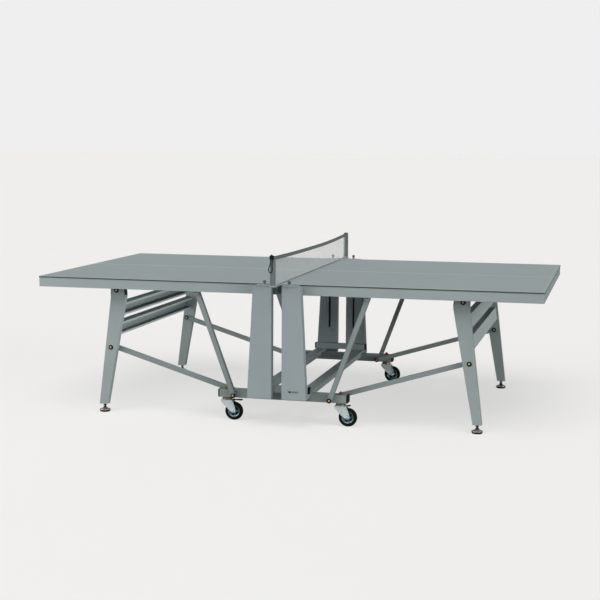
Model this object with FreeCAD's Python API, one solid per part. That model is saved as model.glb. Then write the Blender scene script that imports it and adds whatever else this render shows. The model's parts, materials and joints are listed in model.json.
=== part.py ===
"""Outdoor folding ping pong table: parametric model, one STEP file per piece.

Frame: millimetres, +Z up, origin on the floor under the middle of the net.
+X runs along the table towards the right end, +Y runs to the far side.
"""
import FreeCAD, Part
import math
import os

V = FreeCAD.Vector

# ---- playing surface -----------------------------------------------------
TOP_LENGTH = 2740.0
TOP_WIDTH = 1525.0
TOP_HEIGHT = 760.0
PANEL_THICK = 7.0
CENTRE_GAP = 6.0            # from the net plane to the edge of each half
APRON_BOTTOM = 703.0
APRON_INSET = 2.0
APRON_SHEET = 2.0
APRON_FLANGE = 16.0
RAIL_X = (300.0, 1150.0)    # cross rails under each half
RAIL_SIZE = 30.0

# ---- fold linkage (right half; the left half mirrors it) ------------------
SLOT_PIN = (78.0, 735.0)
BASE_PIVOT = (264.0, 144.0)
STRUT_TOP = (466.5, 698.0)
LEG_PIVOT = (952.0, 684.0)
LINK_END = (990.0, 365.0)
STRUT_Y = (704.0, 730.0)
LINK_Y = (603.0, 625.0)
BAR_HEIGHT = 25.0
BAR_WALL = 2.0
FIT = 0.05                  # radial clearance of a running fit
PIN_RADIUS = 6.2
LEG_BOLT = 5.0
PIVOT_BOLT = 6.0

# ---- posts ---------------------------------------------------------------
POST_Y = (772.0, 820.0)
POST_INNER_X = 29.0
POST_TOP_X = 128.0
POST_FOOT_X = 160.0
POST_Z = (156.0, 752.0)
POST_WALL = 2.0
SLOT_WIDTH = 13.0
SLOT_Z = (321.5, 739.0)     # centres of the slot's round ends
KNOB_AT = (67.0, 808.0)
KNOB_LIFT = 8.0
KNOB_RADIUS = 8.5
KNOB_TOP = 781.5

# ---- base frame ----------------------------------------------------------
SIDE_BEAM_X = 350.0
SIDE_BEAM_LID = 7.5        # thickness of the plastic lid at each end
SIDE_BEAM_Y = (640.0, 700.0)
SIDE_BEAM_Z = (129.0, 171.0)
CROSS_BEAM_X = (98.0, 156.0)
CROSS_BEAM_Z = (154.0, 182.0)
TIE_BAR_X = 158.0
TIE_BAR_LID = 8.0
TIE_BAR_Y = (737.0, 771.0)
TIE_BAR_Z = (182.0, 217.0)
TUBE_WALL = 2.0

# ---- legs ----------------------------------------------------------------
LEG_Y = (630.0, 664.0)
LEG_OUTLINE = (
    (1013.0, 45.0),
    (1061.0, 45.0),
    (986.0, 652.0),
    (982.0, 700.0),
    (915.0, 700.0),
    (901.0, 652.0),
)
STOP_OUTLINE = (            # rubber stop on the leg's slanted inner corner
    (900.0, 658.0),
    (902.2, 658.0),
    (912.4, 693.0),
    (903.0, 693.0),
)
LEG_TILT = 8.7              # degrees, splay of the leg from upright
CHANNEL_X = 1000.0          # outer face of the lower channel
CHANNEL_Z = (467.0, 575.0)
CHANNEL_HEIGHT = 72.0
CHANNEL_DEPTH = 40.0
CHANNEL_LIP = 14.0          # height of the upper edge fold
CHANNEL_LOW_LIP = 11.0      # height of the lower edge fold
CHANNEL_SHEET = 3.0
FOOT_AT = (1036.0, 647.0)

# ---- casters -------------------------------------------------------------
SWIVEL_AT = (315.0, 668.0)
CASTER_TRAIL = 39.0
WHEEL_RADIUS = 50.0
WHEEL_WIDTH = 26.0
CASTER_HEIGHT = 128.7
PEDAL_AT = (38.0, 112.0)    # pedal hinge, measured from the swivel axis
PEDAL_REACH = {"left": 86.0, "right": 52.0}

# ---- net -----------------------------------------------------------------
POLE_Y = 888.0
POLE_RADIUS = 10.0
SLEEVE_RADIUS = 12.5
SOCKET_RADIUS = 14.0
POLE_FOOT = 756.0
ARM_WIDTH = 36.0
NET_TOP = 915.0
NET_SAG = 13.0
NET_BOTTOM = 762.0
TAPE_HEIGHT = 19.0
CLAMP_Y = (-913.0, -900.6)
CLAMP_Z = (900.0, 921.0, 926.0)    # foot, shoulder and button top
CORD_RADIUS = 2.4
CORD_ROUTE = (              # (x, y, z) of the hanging loop's corner points
    (-8.0, -906.8, 900.0),
    (-8.0, -906.8, 886.5),
    (-11.0, -907.3, 872.5),
    (-16.0, -907.8, 858.5),
    (-18.5, -908.2, 845.0),
    (-14.0, -908.4, 833.0),
    (-2.0, -908.4, 833.0),
    (2.5, -908.2, 845.0),
    (2.2, -907.8, 858.5),
    (0.2, -907.3, 872.5),
    (1.5, -906.8, 886.5),
    (1.5, -906.8, 900.0),
)


# ---- small helpers -------------------------------------------------------
def box(x0, x1, y0, y1, z0, z1):
    """Box between the given limits."""
    return Part.makeBox(x1 - x0, y1 - y0, z1 - z0, V(x0, y0, z0))


def cyl_y(x, z, radius, y0, y1):
    """Cylinder along Y."""
    return Part.makeCylinder(radius, y1 - y0, V(x, y0, z), V(0, 1, 0))


def cyl_z(x, y, radius, z0, z1):
    """Cylinder along Z."""
    return Part.makeCylinder(radius, z1 - z0, V(x, y, z0), V(0, 0, 1))


def cone_z(x, y, r0, r1, z0, z1):
    """Cone along Z."""
    return Part.makeCone(r0, r1, z1 - z0, V(x, y, z0), V(0, 0, 1))


def face_xz(points, y):
    """Flat face through (x, z) points at one Y."""
    corners = [V(x, y, z) for x, z in points]
    corners.append(corners[0])
    return Part.Face(Part.makePolygon(corners))


def prism_xz(points, y0, y1):
    """Polygon of (x, z) points drawn out along Y."""
    return face_xz(points, y0).extrude(V(0, y1 - y0, 0))


def inset_prism(points, wall, y0, y1):
    """The same prism with its outline drawn in by the wall."""
    face = face_xz(points, y0).makeOffset2D(-wall)
    return face.extrude(V(0, y1 - y0, 0))


def mirror_x(shape):
    """Reflect to the other end of the table."""
    return shape.mirror(V(0, 0, 0), V(1, 0, 0))


def mirror_y(shape):
    """Reflect to the other side of the table."""
    return shape.mirror(V(0, 0, 0), V(0, 1, 0))


def near_and_far(far_shape):
    """The piece on the far side with its twin on the near side."""
    return Part.makeCompound([far_shape, mirror_y(far_shape)])


def fuse_all(shapes):
    """One clean solid from several that touch."""
    first = shapes[0]
    return first.multiFuse(shapes[1:]).removeSplitter()


def slot_xz(x, z0, z1, width, y0, y1):
    """Upright slot with round ends, cut along Y."""
    r = width / 2.0
    middle = box(x - r, x + r, y0, y1, z0, z1)
    return fuse_all([middle, cyl_y(x, z0, r, y0, y1), cyl_y(x, z1, r, y0, y1)])


# ---- playing surface -----------------------------------------------------
def top_panel():
    """Laminate sheet of one half, with a softened rim."""
    half_w = TOP_WIDTH / 2.0
    half_l = TOP_LENGTH / 2.0
    under = TOP_HEIGHT - PANEL_THICK
    panel = box(CENTRE_GAP, half_l, -half_w, half_w, under, TOP_HEIGHT)
    corners = [e for e in panel.Edges if is_upright(e)]
    outer = [e for e in corners if e.CenterOfMass.x > half_l / 2.0]
    panel = panel.makeFillet(6.0, outer)
    rim = [e for e in panel.Edges if e.CenterOfMass.z > TOP_HEIGHT - 0.1]
    return panel.makeFillet(1.5, rim)


def is_upright(edge):
    """True for a straight edge along Z."""
    a = edge.Vertexes[0].Point
    b = edge.Vertexes[-1].Point
    return abs(a.x - b.x) < 1e-6 and abs(a.y - b.y) < 1e-6


def apron():
    """Folded sheet frame round one half, with an inward flange."""
    under = TOP_HEIGHT - PANEL_THICK
    x0 = CENTRE_GAP + APRON_INSET
    x1 = TOP_LENGTH / 2.0 - APRON_INSET
    y1 = TOP_WIDTH / 2.0 - APRON_INSET
    t = APRON_SHEET
    outer = box(x0, x1, -y1, y1, APRON_BOTTOM, under)
    corners = [e for e in outer.Edges if is_upright(e)]
    round_ends = [e for e in corners if e.CenterOfMass.x > x1 - 1.0]
    outer = outer.makeFillet(5.0, round_ends)
    room = box(x0 + t, x1 - t, -y1 + t, y1 - t, APRON_BOTTOM + t, under + 1.0)
    f = APRON_FLANGE + t
    mouth = box(x0 + f, x1 - f, -y1 + f, y1 - f, APRON_BOTTOM - 1.0, under)
    frame = outer.cut(room).cut(mouth)
    pin_hole = cyl_y(SLOT_PIN[0], SLOT_PIN[1], PIN_RADIUS + FIT, 740.0, 770.0)
    return frame.cut(pin_hole).cut(mirror_y(pin_hole))


def top_rails():
    """Cross rails and pivot plates welded under one half."""
    under = TOP_HEIGHT - PANEL_THICK
    low = under - RAIL_SIZE
    reach = 742.0
    pieces = []
    for x in RAIL_X:
        rail = box(x, x + RAIL_SIZE, -reach, reach, low, under)
        t = TUBE_WALL
        bore = box(x + t, x + RAIL_SIZE - t, -reach - 1, reach + 1, low + t, under - t)
        rail = rail.cut(bore)
        pieces.append(rail)
    return Part.makeCompound(pieces)


def pin_plate():
    """Stiff plate behind the apron that carries the slot pin."""
    x, z = SLOT_PIN
    plate = box(x - 30.0, x + 30.0, 752.0, 758.5, APRON_BOTTOM + 2.0, 753.0)
    plate = plate.cut(cyl_y(x, z, PIN_RADIUS + FIT, 740.0, 770.0))
    foot = box(x - 30.0, x + 30.0, 738.0, 752.0, 748.0, 753.0)
    return fuse_all([plate, foot])


def strut_plate():
    """Hanger plate beside the top of a strut."""
    x, z = STRUT_TOP
    corners = (
        (x - 34.0, 753.0),
        (x - 14.0, z - 4.0),
        (x + 14.0, z - 4.0),
        (x + 34.0, 753.0),
    )
    plate = prism_xz(corners, 736.5, 740.5)
    eye = cyl_y(x, z, 15.0, 736.5, 740.5)
    foot = box(x - 40.0, x + 40.0, 736.5, 756.0, 750.0, 753.0)
    hanger = fuse_all([plate, eye, foot])
    return hanger.cut(cyl_y(x, z, 5.0, 730.0, 745.0))


def hanger_plates():
    """Pin plates and strut hangers of one half, near and far."""
    far = Part.makeCompound([pin_plate(), strut_plate()])
    return near_and_far(far)


def leg_bracket():
    """Folded bracket that holds the top of one leg."""
    x, z = LEG_PIVOT
    low = 638.0
    cheeks = []
    for y0 in (LEG_Y[0] - 3.4, LEG_Y[1] + 0.4):
        cheek = box(x - 45.0, x + 34.0, y0, y0 + 3.0, low, 753.0)
        edges = [e for e in cheek.Edges if is_low_corner(e, low)]
        cheeks.append(cheek.makeFillet(8.0, edges))
    roof = box(x - 45.0, x + 34.0, LEG_Y[0] - 3.4, LEG_Y[1] + 3.4, 750.0, 753.0)
    bracket = fuse_all(cheeks + [roof])
    return bracket.cut(cyl_y(x, z, LEG_BOLT + FIT, 600.0, 700.0))


def is_low_corner(edge, low):
    """True for a short edge along Y at the lower rim."""
    a = edge.Vertexes[0].Point
    b = edge.Vertexes[-1].Point
    return abs(a.y - b.y) > 1.0 and abs(a.z - low) < 0.01 and abs(b.z - low) < 0.01


# ---- pins and bolts ------------------------------------------------------
def slot_pins():
    """Pin and retaining disc that run in the post's slot."""
    x, z = SLOT_PIN
    shaft = cyl_y(x, z, PIN_RADIUS, 750.5, 778.0)
    disc = cyl_y(x, z, 12.0, 774.4, 778.0)
    collar = cyl_y(x, z, 10.0, 761.0, 769.8)
    tail = cyl_y(x, z, 9.0, 747.5, 751.7)
    return near_and_far(fuse_all([shaft, disc, collar, tail]))


def base_bolt():
    """Pivot bolt through a side beam, shared by strut and link."""
    x, z = BASE_PIVOT
    shaft = cyl_y(x, z, PIVOT_BOLT, 597.0, 736.0)
    outer_washer = cyl_y(x, z, 12.5, STRUT_Y[1] + 0.3, STRUT_Y[1] + 3.3)
    outer_head = cyl_y(x, z, 7.0, STRUT_Y[1] + 3.3, STRUT_Y[1] + 8.0)
    inner_washer = cyl_y(x, z, 12.5, LINK_Y[0] - 3.3, LINK_Y[0] - 0.3)
    inner_head = cyl_y(x, z, 7.0, LINK_Y[0] - 8.0, LINK_Y[0] - 3.3)
    spacer = cyl_y(x, z, 10.0, LINK_Y[1] + 0.3, SIDE_BEAM_Y[0])
    outer_spacer = cyl_y(x, z, 10.0, SIDE_BEAM_Y[1], STRUT_Y[0] - 0.3)
    parts = [shaft, outer_washer, outer_head, inner_washer, inner_head]
    return fuse_all(parts + [spacer, outer_spacer])


def caster_bolt():
    """King bolt that hangs a caster under a side beam."""
    x, y = SWIVEL_AT
    shaft = cyl_z(x, y, 5.5, 104.0, 187.0)
    nut = cyl_z(x, y, 12.0, 171.0, 181.0)
    end = cyl_z(x, y, 10.0, 103.0, 106.7)
    return fuse_all([shaft, nut, end])


def frame_bolts():
    """All pivot bolts and king bolts of the base."""
    pieces = []
    for bolt in (base_bolt(), caster_bolt()):
        for shape in (bolt, mirror_x(bolt)):
            pieces.append(shape)
            pieces.append(mirror_y(shape))
    return Part.makeCompound(pieces)


def leg_trim():
    """Pivot bolt, leg side of the link bolt and rubber stop of a leg."""
    x, z = LEG_PIVOT
    y0, y1 = LEG_Y
    shaft = cyl_y(x, z, LEG_BOLT, y0 - 6.0, y1 + 6.0)
    washer = cyl_y(x, z, 12.0, y1 + 3.7, y1 + 6.2)
    head = cyl_y(x, z, 6.5, y1 + 6.2, y1 + 10.5)
    nut = cyl_y(x, z, 8.0, y0 - 9.0, y0 - 3.7)
    upper = fuse_all([shaft, washer, head, nut])
    x, z = LINK_END
    washer = cyl_y(x, z, 12.0, y1, y1 + 2.5)
    head = cyl_y(x, z, 6.5, y1 + 2.5, y1 + 6.8)
    lower = fuse_all([washer, head])
    stop = prism_xz(STOP_OUTLINE, y0 + 2.0, y1 - 2.0)
    return near_and_far(Part.makeCompound([upper, lower, stop]))


# ---- legs ----------------------------------------------------------------
def leg():
    """Tapered folded leg on the far side."""
    y0, y1 = LEG_Y
    skin = prism_xz(LEG_OUTLINE, y0, y1)
    room = inset_prism(LEG_OUTLINE, TUBE_WALL, y0 + TUBE_WALL, y1 - TUBE_WALL)
    tube = skin.cut(room)
    x, z = LEG_PIVOT
    tube = tube.cut(cyl_y(x, z, LEG_BOLT, y0 - 5.0, y1 + 5.0))
    fx, fy = FOOT_AT
    nut = cyl_z(fx, fy, 9.0, 46.5, 62.0)
    tube = fuse_all([tube, nut])
    return tube.cut(cyl_z(fx, fy, 5.0 + FIT, 40.0, 70.0))


def channel(z):
    """One lipped channel between the legs, open towards the middle."""
    lean = math.tan(math.radians(LEG_TILT))
    x_web = CHANNEL_X - (z - CHANNEL_Z[0]) * lean
    h = CHANNEL_HEIGHT / 2.0
    t = CHANNEL_SHEET
    y = LEG_Y[0]
    web = box(x_web - t, x_web, -y, y, z - h, z + h)
    upper = box(x_web - CHANNEL_DEPTH, x_web, -y, y, z + h - t, z + h)
    lower = box(x_web - CHANNEL_DEPTH, x_web, -y, y, z - h, z - h + t)
    x_lip = x_web - CHANNEL_DEPTH
    lip = box(x_lip, x_lip + t, -y, y, z + h - CHANNEL_LIP, z + h)
    low_lip = box(x_lip, x_lip + t, -y, y, z - h, z - h + CHANNEL_LOW_LIP)
    profile = fuse_all([web, upper, lower, lip, low_lip])
    profile.rotate(V(x_web, 0, z), V(0, 1, 0), -LEG_TILT)
    return profile.common(box(800.0, 1100.0, -y, y, 300.0, 700.0))


def leg_channels():
    """Both channels of one leg pair."""
    return Part.makeCompound([channel(z) for z in CHANNEL_Z])


def foot(sx, sy):
    """Levelling foot: rubber-based steel disc on a threaded stem."""
    x, y = FOOT_AT
    pad = cyl_z(x, y, 27.0, 0.0, 8.0)
    skirt = cone_z(x, y, 30.0, 27.0, 8.0, 13.0)
    dome = cone_z(x, y, 27.0, 10.0, 13.0, 21.0)
    nut = cyl_z(x, y, 9.0, 21.0, 28.0)
    stem = cyl_z(x, y, 5.0, 27.0, 92.0)
    shape = fuse_all([pad, skirt, dome, nut, stem])
    if sx < 0:
        shape = mirror_x(shape)
    if sy < 0:
        shape = mirror_y(shape)
    return shape


# ---- struts and links ----------------------------------------------------
def stadium(start, end, height, y0, y1):
    """Flat bar with round ends between two pivots."""
    r = height / 2.0
    dx = end[0] - start[0]
    dz = end[1] - start[1]
    length = math.hypot(dx, dz)
    bar = box(0.0, length, y0, y1, -r, r)
    parts = [bar, cyl_y(0.0, 0.0, r, y0, y1), cyl_y(length, 0.0, r, y0, y1)]
    shape = fuse_all(parts)
    angle = math.degrees(math.atan2(dz, dx))
    shape.rotate(V(0, 0, 0), V(0, 1, 0), -angle)
    shape.translate(V(start[0], 0, start[1]))
    return shape


def hollow_bar(start, end, y0, y1):
    """Tube with closed round ends between two pivots."""
    dx = end[0] - start[0]
    dz = end[1] - start[1]
    length = math.hypot(dx, dz)
    skip = 26.0 / length
    a = (start[0] + dx * skip, start[1] + dz * skip)
    b = (end[0] - dx * skip, end[1] - dz * skip)
    outer = stadium(start, end, BAR_HEIGHT, y0, y1)
    room = stadium(a, b, BAR_HEIGHT - 2.0 * BAR_WALL, y0 + BAR_WALL, y1 - BAR_WALL)
    return outer.cut(room)


def strut():
    """Strut from the base pivot up to its hanger, with its bolt."""
    bar = hollow_bar(BASE_PIVOT, STRUT_TOP, STRUT_Y[0], STRUT_Y[1])
    hole = cyl_y(BASE_PIVOT[0], BASE_PIVOT[1], PIVOT_BOLT + FIT, 690.0, 745.0)
    x, z = STRUT_TOP
    bolt = cyl_y(x, z, 8.0, STRUT_Y[1], STRUT_Y[1] + 6.0)
    inner = cyl_y(x, z, 9.0, STRUT_Y[0] - 4.0, STRUT_Y[0])
    return fuse_all([bar, bolt, inner]).cut(hole)


def link():
    """Link from the base pivot out to the leg, with its bolt head."""
    bar = hollow_bar(BASE_PIVOT, LINK_END, LINK_Y[0], LINK_Y[1])
    hole = cyl_y(BASE_PIVOT[0], BASE_PIVOT[1], PIVOT_BOLT + FIT, 590.0, 632.0)
    x, z = LINK_END
    washer = cyl_y(x, z, 12.5, LINK_Y[0] - 2.5, LINK_Y[0])
    head = cyl_y(x, z, 6.5, LINK_Y[0] - 6.8, LINK_Y[0] - 2.5)
    spacer = cyl_y(x, z, 8.0, LINK_Y[1], LINK_Y[1] + 4.4)
    return fuse_all([bar, washer, head, spacer]).cut(hole)


# ---- base frame ----------------------------------------------------------
def tube_x(half, y_range, z_range):
    """Open rectangular tube along X."""
    y0, y1 = y_range
    z0, z1 = z_range
    t = TUBE_WALL
    outer = box(-half, half, y0, y1, z0, z1)
    bore = box(-half - 1, half + 1, y0 + t, y1 - t, z0 + t, z1 - t)
    return outer.cut(bore)


def side_beam():
    """Long base beam of the far side, notched over the cross beams."""
    beam = tube_x(SIDE_BEAM_X, SIDE_BEAM_Y, SIDE_BEAM_Z)
    x0, x1 = CROSS_BEAM_X
    z0, z1 = CROSS_BEAM_Z
    for s in (-1.0, 1.0):
        notch = box(min(s * x0, s * x1), max(s * x0, s * x1), 600, 750, z0, z1)
        beam = beam.cut(notch)
        bx, bz = BASE_PIVOT
        beam = beam.cut(cyl_y(s * bx, bz, PIVOT_BOLT, 630.0, 710.0))
        sx, sy = SWIVEL_AT
        beam = beam.cut(cyl_z(s * sx, sy, 5.5, 120.0, 180.0))
    return beam


def cross_beam():
    """Tube across the table on the right of the net plane."""
    x0, x1 = CROSS_BEAM_X
    z0, z1 = CROSS_BEAM_Z
    y = TIE_BAR_Y[1]
    t = TUBE_WALL
    outer = box(x0, x1, -y, y, z0, z1)
    bore = box(x0 + t, x1 - t, -y - 1, y + 1, z0 + t, z1 - t)
    return outer.cut(bore)


def end_caps():
    """Plastic plugs of the side beams and tie bars."""
    pieces = []
    rows = (
        (SIDE_BEAM_X, SIDE_BEAM_LID, SIDE_BEAM_Y, SIDE_BEAM_Z),
        (TIE_BAR_X, TIE_BAR_LID, TIE_BAR_Y, TIE_BAR_Z),
    )
    for half, thick, (y0, y1), (z0, z1) in rows:
        t = TUBE_WALL
        lid = box(half, half + thick, y0, y1, z0, z1)
        edges = [e for e in lid.Edges if e.CenterOfMass.x > half + thick - 0.1]
        lid = lid.makeFillet(1.5, edges)
        plug = box(half - 18.0, half, y0 + t, y1 - t, z0 + t, z1 - t)
        cap = fuse_all([lid, plug])
        for shape in (cap, mirror_x(cap)):
            pieces.append(shape)
            pieces.append(mirror_y(shape))
    return Part.makeCompound(pieces)


# ---- posts ---------------------------------------------------------------
def post():
    """Folded post on the far right, with its slot and head plate."""
    y0, y1 = POST_Y
    z0, z1 = POST_Z
    t = POST_WALL
    outline = (
        (POST_INNER_X, z0),
        (POST_FOOT_X, z0),
        (POST_TOP_X, z1),
        (POST_INNER_X, z1),
    )
    skin = prism_xz(outline, y0, y1)
    room = inset_prism(outline, t, y0 + t, y1 - t)
    open_foot = box(POST_INNER_X + t, POST_FOOT_X - 3.0, y0 + t, y1 - t, z0 - 1, z0 + 5)
    shell = skin.cut(room).cut(open_foot)
    head = head_plate()
    doubler = box(POST_INNER_X + 2.0, 69.5, y0 - 1.5, y0, 284.0, 337.0)
    lock = cyl_y(62.5, 303.0, 5.5, y0 - 3.5, y0 + 1.0)
    body = fuse_all([shell, head, doubler, lock])
    x = SLOT_PIN[0]
    slot = slot_xz(x, SLOT_Z[0], SLOT_Z[1], SLOT_WIDTH, y0 - 5.0, y0 + t + 1.0)
    return body.cut(slot)


def head_plate():
    """Cap plate of a post with the collar of its release knob."""
    x, y = KNOB_AT
    plate = box(POST_INNER_X, 116.0, 766.5, 822.0, 752.0, 757.0)
    edges = [e for e in plate.Edges if is_upright(e)]
    outer = [e for e in edges if e.CenterOfMass.x > 100.0]
    plate = plate.makeFillet(6.0, outer)
    collar = cyl_z(x, y, 8.0, 757.0, 763.0)
    head = fuse_all([plate, collar])
    return head.cut(cyl_z(x, y, 4.0 + FIT, 748.0, 765.0))


def release_knob(sx, sy):
    """Pull-up knob that frees the lock of one post."""
    x, y = KNOB_AT
    stem = cyl_z(x, y, 4.0, 752.5, 766.0)
    grip = cyl_z(x, y, KNOB_RADIUS, 763.4, KNOB_TOP)
    rim = [e for e in grip.Edges if e.CenterOfMass.z > KNOB_TOP - 1.0]
    grip = grip.makeFillet(3.0, rim)
    shape = fuse_all([stem, grip])
    if sx < 0:
        shape = mirror_x(shape)
    if sy < 0:
        shape = mirror_y(shape)
    return shape


# ---- net -----------------------------------------------------------------
def net_bracket():
    """Plate between the posts with the socket of a net pole."""
    half = ARM_WIDTH / 2.0
    wide = box(-50.0, 50.0, 768.0, 797.0, 757.0, 761.0)
    arm = box(-half, half, 790.0, POLE_Y + 17.0, 757.0, 761.0)
    corners = [e for e in arm.Edges if is_upright(e) and e.CenterOfMass.y > POLE_Y]
    arm = arm.makeFillet(9.0, corners)
    socket = cyl_z(0.0, POLE_Y, SOCKET_RADIUS, POLE_FOOT + 1.0, 763.5)
    shape = fuse_all([wide, arm, socket])
    return shape.cut(cyl_z(0.0, POLE_Y, POLE_RADIUS + FIT, 740.0, 770.0))


def net_pole():
    """Steel tube of one net end with a cap."""
    tube = cyl_z(0.0, POLE_Y, POLE_RADIUS, POLE_FOOT, NET_TOP)
    bore = cyl_z(0.0, POLE_Y, POLE_RADIUS - 1.5, 739.0, NET_TOP - 12.0)
    cap = cyl_z(0.0, POLE_Y, SLEEVE_RADIUS, NET_TOP, NET_TOP + 4.0)
    rim = [e for e in cap.Edges if e.CenterOfMass.z > NET_TOP + 3.0]
    cap = cap.makeFillet(2.0, rim)
    return fuse_all([tube.cut(bore), cap])


def tape_band(x_half, z_end, z_mid, height):
    """Band between the poles that sags to its middle."""
    y = POLE_Y - POLE_RADIUS - 0.3
    upper = Part.Arc(V(-x_half, -y, z_end), V(-x_half, 0, z_mid), V(-x_half, y, z_end))
    lower = Part.Arc(
        V(-x_half, y, z_end - height),
        V(-x_half, 0, z_mid - height),
        V(-x_half, -y, z_end - height),
    )
    side_a = Part.makeLine(V(-x_half, y, z_end), V(-x_half, y, z_end - height))
    side_b = Part.makeLine(V(-x_half, -y, z_end - height), V(-x_half, -y, z_end))
    wire = Part.Wire([upper.toShape(), side_a, lower.toShape(), side_b])
    return Part.Face(wire).extrude(V(2.0 * x_half, 0, 0))


def net_tapes():
    """Top tape, foot band and pole sleeves, sewn in one."""
    top = tape_band(2.2, NET_TOP - 1.5, NET_TOP - NET_SAG, TAPE_HEIGHT)
    foot = tape_band(1.4, NET_BOTTOM + 6.0, NET_BOTTOM + 5.9, 6.0)
    sleeves = []
    for y in (-POLE_Y, POLE_Y):
        sleeve = cyl_z(0.0, y, SLEEVE_RADIUS, 764.0, NET_TOP - 1.0)
        sleeves.append(sleeve)
    soft = fuse_all([top, foot] + sleeves + [sleeve_foot(-1.0), sleeve_foot(1.0)])
    for y in (-POLE_Y, POLE_Y):
        soft = soft.cut(cyl_z(0.0, y, POLE_RADIUS, 700.0, 950.0))
    return soft


def sleeve_foot(side):
    """Low flap that joins a sleeve to the foot band."""
    y0 = side * (POLE_Y - SLEEVE_RADIUS + 1.0)
    y1 = side * (POLE_Y - SLEEVE_RADIUS - 12.0)
    return box(-1.4, 1.4, min(y0, y1), max(y0, y1), NET_BOTTOM + 4.0, 800.0)


def net_mesh():
    """Thin sheet that stands for the knotted mesh."""
    sheet = tape_band(0.6, NET_TOP - 5.0, NET_TOP - NET_SAG - 5.0, 148.0)
    sheet = sheet.common(box(-2, 2, -POLE_Y, POLE_Y, NET_BOTTOM + 6.0, NET_TOP))
    end = POLE_Y - SLEEVE_RADIUS + 1.0
    sheet = sheet.common(box(-5.0, 5.0, -end, end, 700.0, 950.0))
    return sheet.cut(net_tapes())


def cord_lock():
    """Spring clamp on the near pole that holds the tension cord."""
    y0, y1 = CLAMP_Y
    z0, z1, z2 = CLAMP_Z
    barrel = box(-14.0, 11.0, y0, y1, z0, z1)
    edges = [e for e in barrel.Edges if is_upright(e)]
    barrel = barrel.makeFillet(4.0, edges)
    button = cyl_z(-1.5, (y0 + y1) / 2.0, 5.0, z1, z2)
    rim = [e for e in button.Edges if e.CenterOfMass.z > z2 - 0.5]
    button = button.makeFillet(1.5, rim)
    return fuse_all([barrel, button])


def cord_path(points):
    """Straight runs joined by arcs that touch both runs."""
    pts = [V(*p) for p in points]
    edges = []
    radii = []
    start = pts[0]
    for i in range(1, len(pts) - 1):
        into = pts[i] - pts[i - 1]
        out = pts[i + 1] - pts[i]
        turn = into.getAngle(out)
        cut = 0.45 * min(into.Length, out.Length)
        radii.append(cut / math.tan(turn / 2.0))
        into.normalize()
        out.normalize()
        a = pts[i] - into * cut
        b = pts[i] + out * cut
        inward = out - into
        inward.normalize()
        depth = radii[-1] / math.cos(turn / 2.0) - radii[-1]
        middle = pts[i] + inward * depth
        edges.append(Part.LineSegment(start, a).toShape())
        edges.append(Part.Arc(a, middle, b).toShape())
        start = b
    edges.append(Part.LineSegment(start, pts[-1]).toShape())
    return Part.Wire(edges), radii


def net_cord():
    """Loop of thin cord that hangs from the clamp."""
    path, radii = cord_path(CORD_ROUTE)
    first = V(*CORD_ROUTE[0])
    heading = V(*CORD_ROUTE[1]) - first
    ring = Part.Wire(Part.makeCircle(CORD_RADIUS, first, heading))
    tube = path.makePipeShell([ring], True, False)
    expected = math.pi * CORD_RADIUS ** 2 * path.Length
    print("cord radii", [round(r, 1) for r in radii])
    print("cord length", round(path.Length, 1), "volume", tube.Volume, expected)
    return tube


# ---- casters -------------------------------------------------------------
def caster_fork():
    """Pressed fork about its king bolt, trailing towards +X."""
    house = cyl_z(0.0, 0.0, 27.0, 112.0, CASTER_HEIGHT - 0.3)
    rim = [e for e in house.Edges if e.CenterOfMass.z > CASTER_HEIGHT - 1.0]
    house = house.makeFillet(3.0, rim)
    crown = box(-32.0, 32.0, -20.0, 20.0, 107.0, 112.0)
    crown = crown.makeFillet(8.0, [e for e in crown.Edges if is_upright(e)])
    side = ((-32.0, 112.0), (32.0, 112.0), (51.0, 54.0), (45.0, 40.0), (32.0, 40.0))
    cheeks = []
    for y in (-20.0, 17.5):
        cheeks.append(prism_xz(side, y, y + 2.5))
    axle = cyl_y(CASTER_TRAIL, 50.0, 4.0, -24.0, 24.0)
    nut = cyl_y(CASTER_TRAIL, 50.0, 7.0, -24.0, -20.0)
    head = cyl_y(CASTER_TRAIL, 50.0, 7.0, 20.0, 24.0)
    x, z = PEDAL_AT
    lugs = []
    for y in (-15.0, 11.5):
        lugs.append(box(28.0, x + 3.5, y, y + 3.5, z - 3.6, z + 3.6))
    pin = cyl_y(x, z, 2.0, -15.0, 15.0)
    fork = fuse_all([house, crown] + cheeks + lugs + [pin, axle, nut, head])
    return fork.cut(cyl_z(0.0, 0.0, 5.5 + FIT, 90.0, 140.0))


def caster_wheel():
    """Tyre on its hub, about the axle."""
    half = WHEEL_WIDTH / 2.0
    x = CASTER_TRAIL
    tyre = cyl_y(x, 50.0, WHEEL_RADIUS, -half, half)
    tyre = tyre.makeFillet(7.0, [e for e in tyre.Edges if e.Length > 250.0])
    dish = 33.5
    for y0, y1 in ((-half - 1, -half + 4.0), (half - 4.0, half + 1)):
        tyre = tyre.cut(cyl_y(x, 50.0, dish, y0, y1))
    boss = cyl_y(x, 50.0, 11.0, -half - 3.5, half + 3.5)
    wheel = fuse_all([tyre, boss])
    return wheel.cut(cyl_y(x, 50.0, 4.0 + FIT, -30.0, 30.0))


def brake_pedal(reach):
    """Foot pedal hinged behind the fork's crown."""
    x, z = PEDAL_AT
    pad_from = max(44.0, reach - 28.0)
    pad = box(pad_from, reach, -15.0, 15.0, z - 1.5, z + 3.0)
    corners = [e for e in pad.Edges if is_upright(e) and e.CenterOfMass.x > reach - 1.0]
    pad = pad.makeFillet(3.5, corners)
    arm = box(x, pad_from + 2.0, -11.0, 11.0, z - 1.5, z + 2.5)
    barrel = cyl_y(x, z, 3.4, -11.0, 11.0)
    pedal = fuse_all([pad, arm, barrel])
    return pedal.cut(cyl_y(x, z, 2.0 + FIT, -20.0, 20.0))


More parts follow.
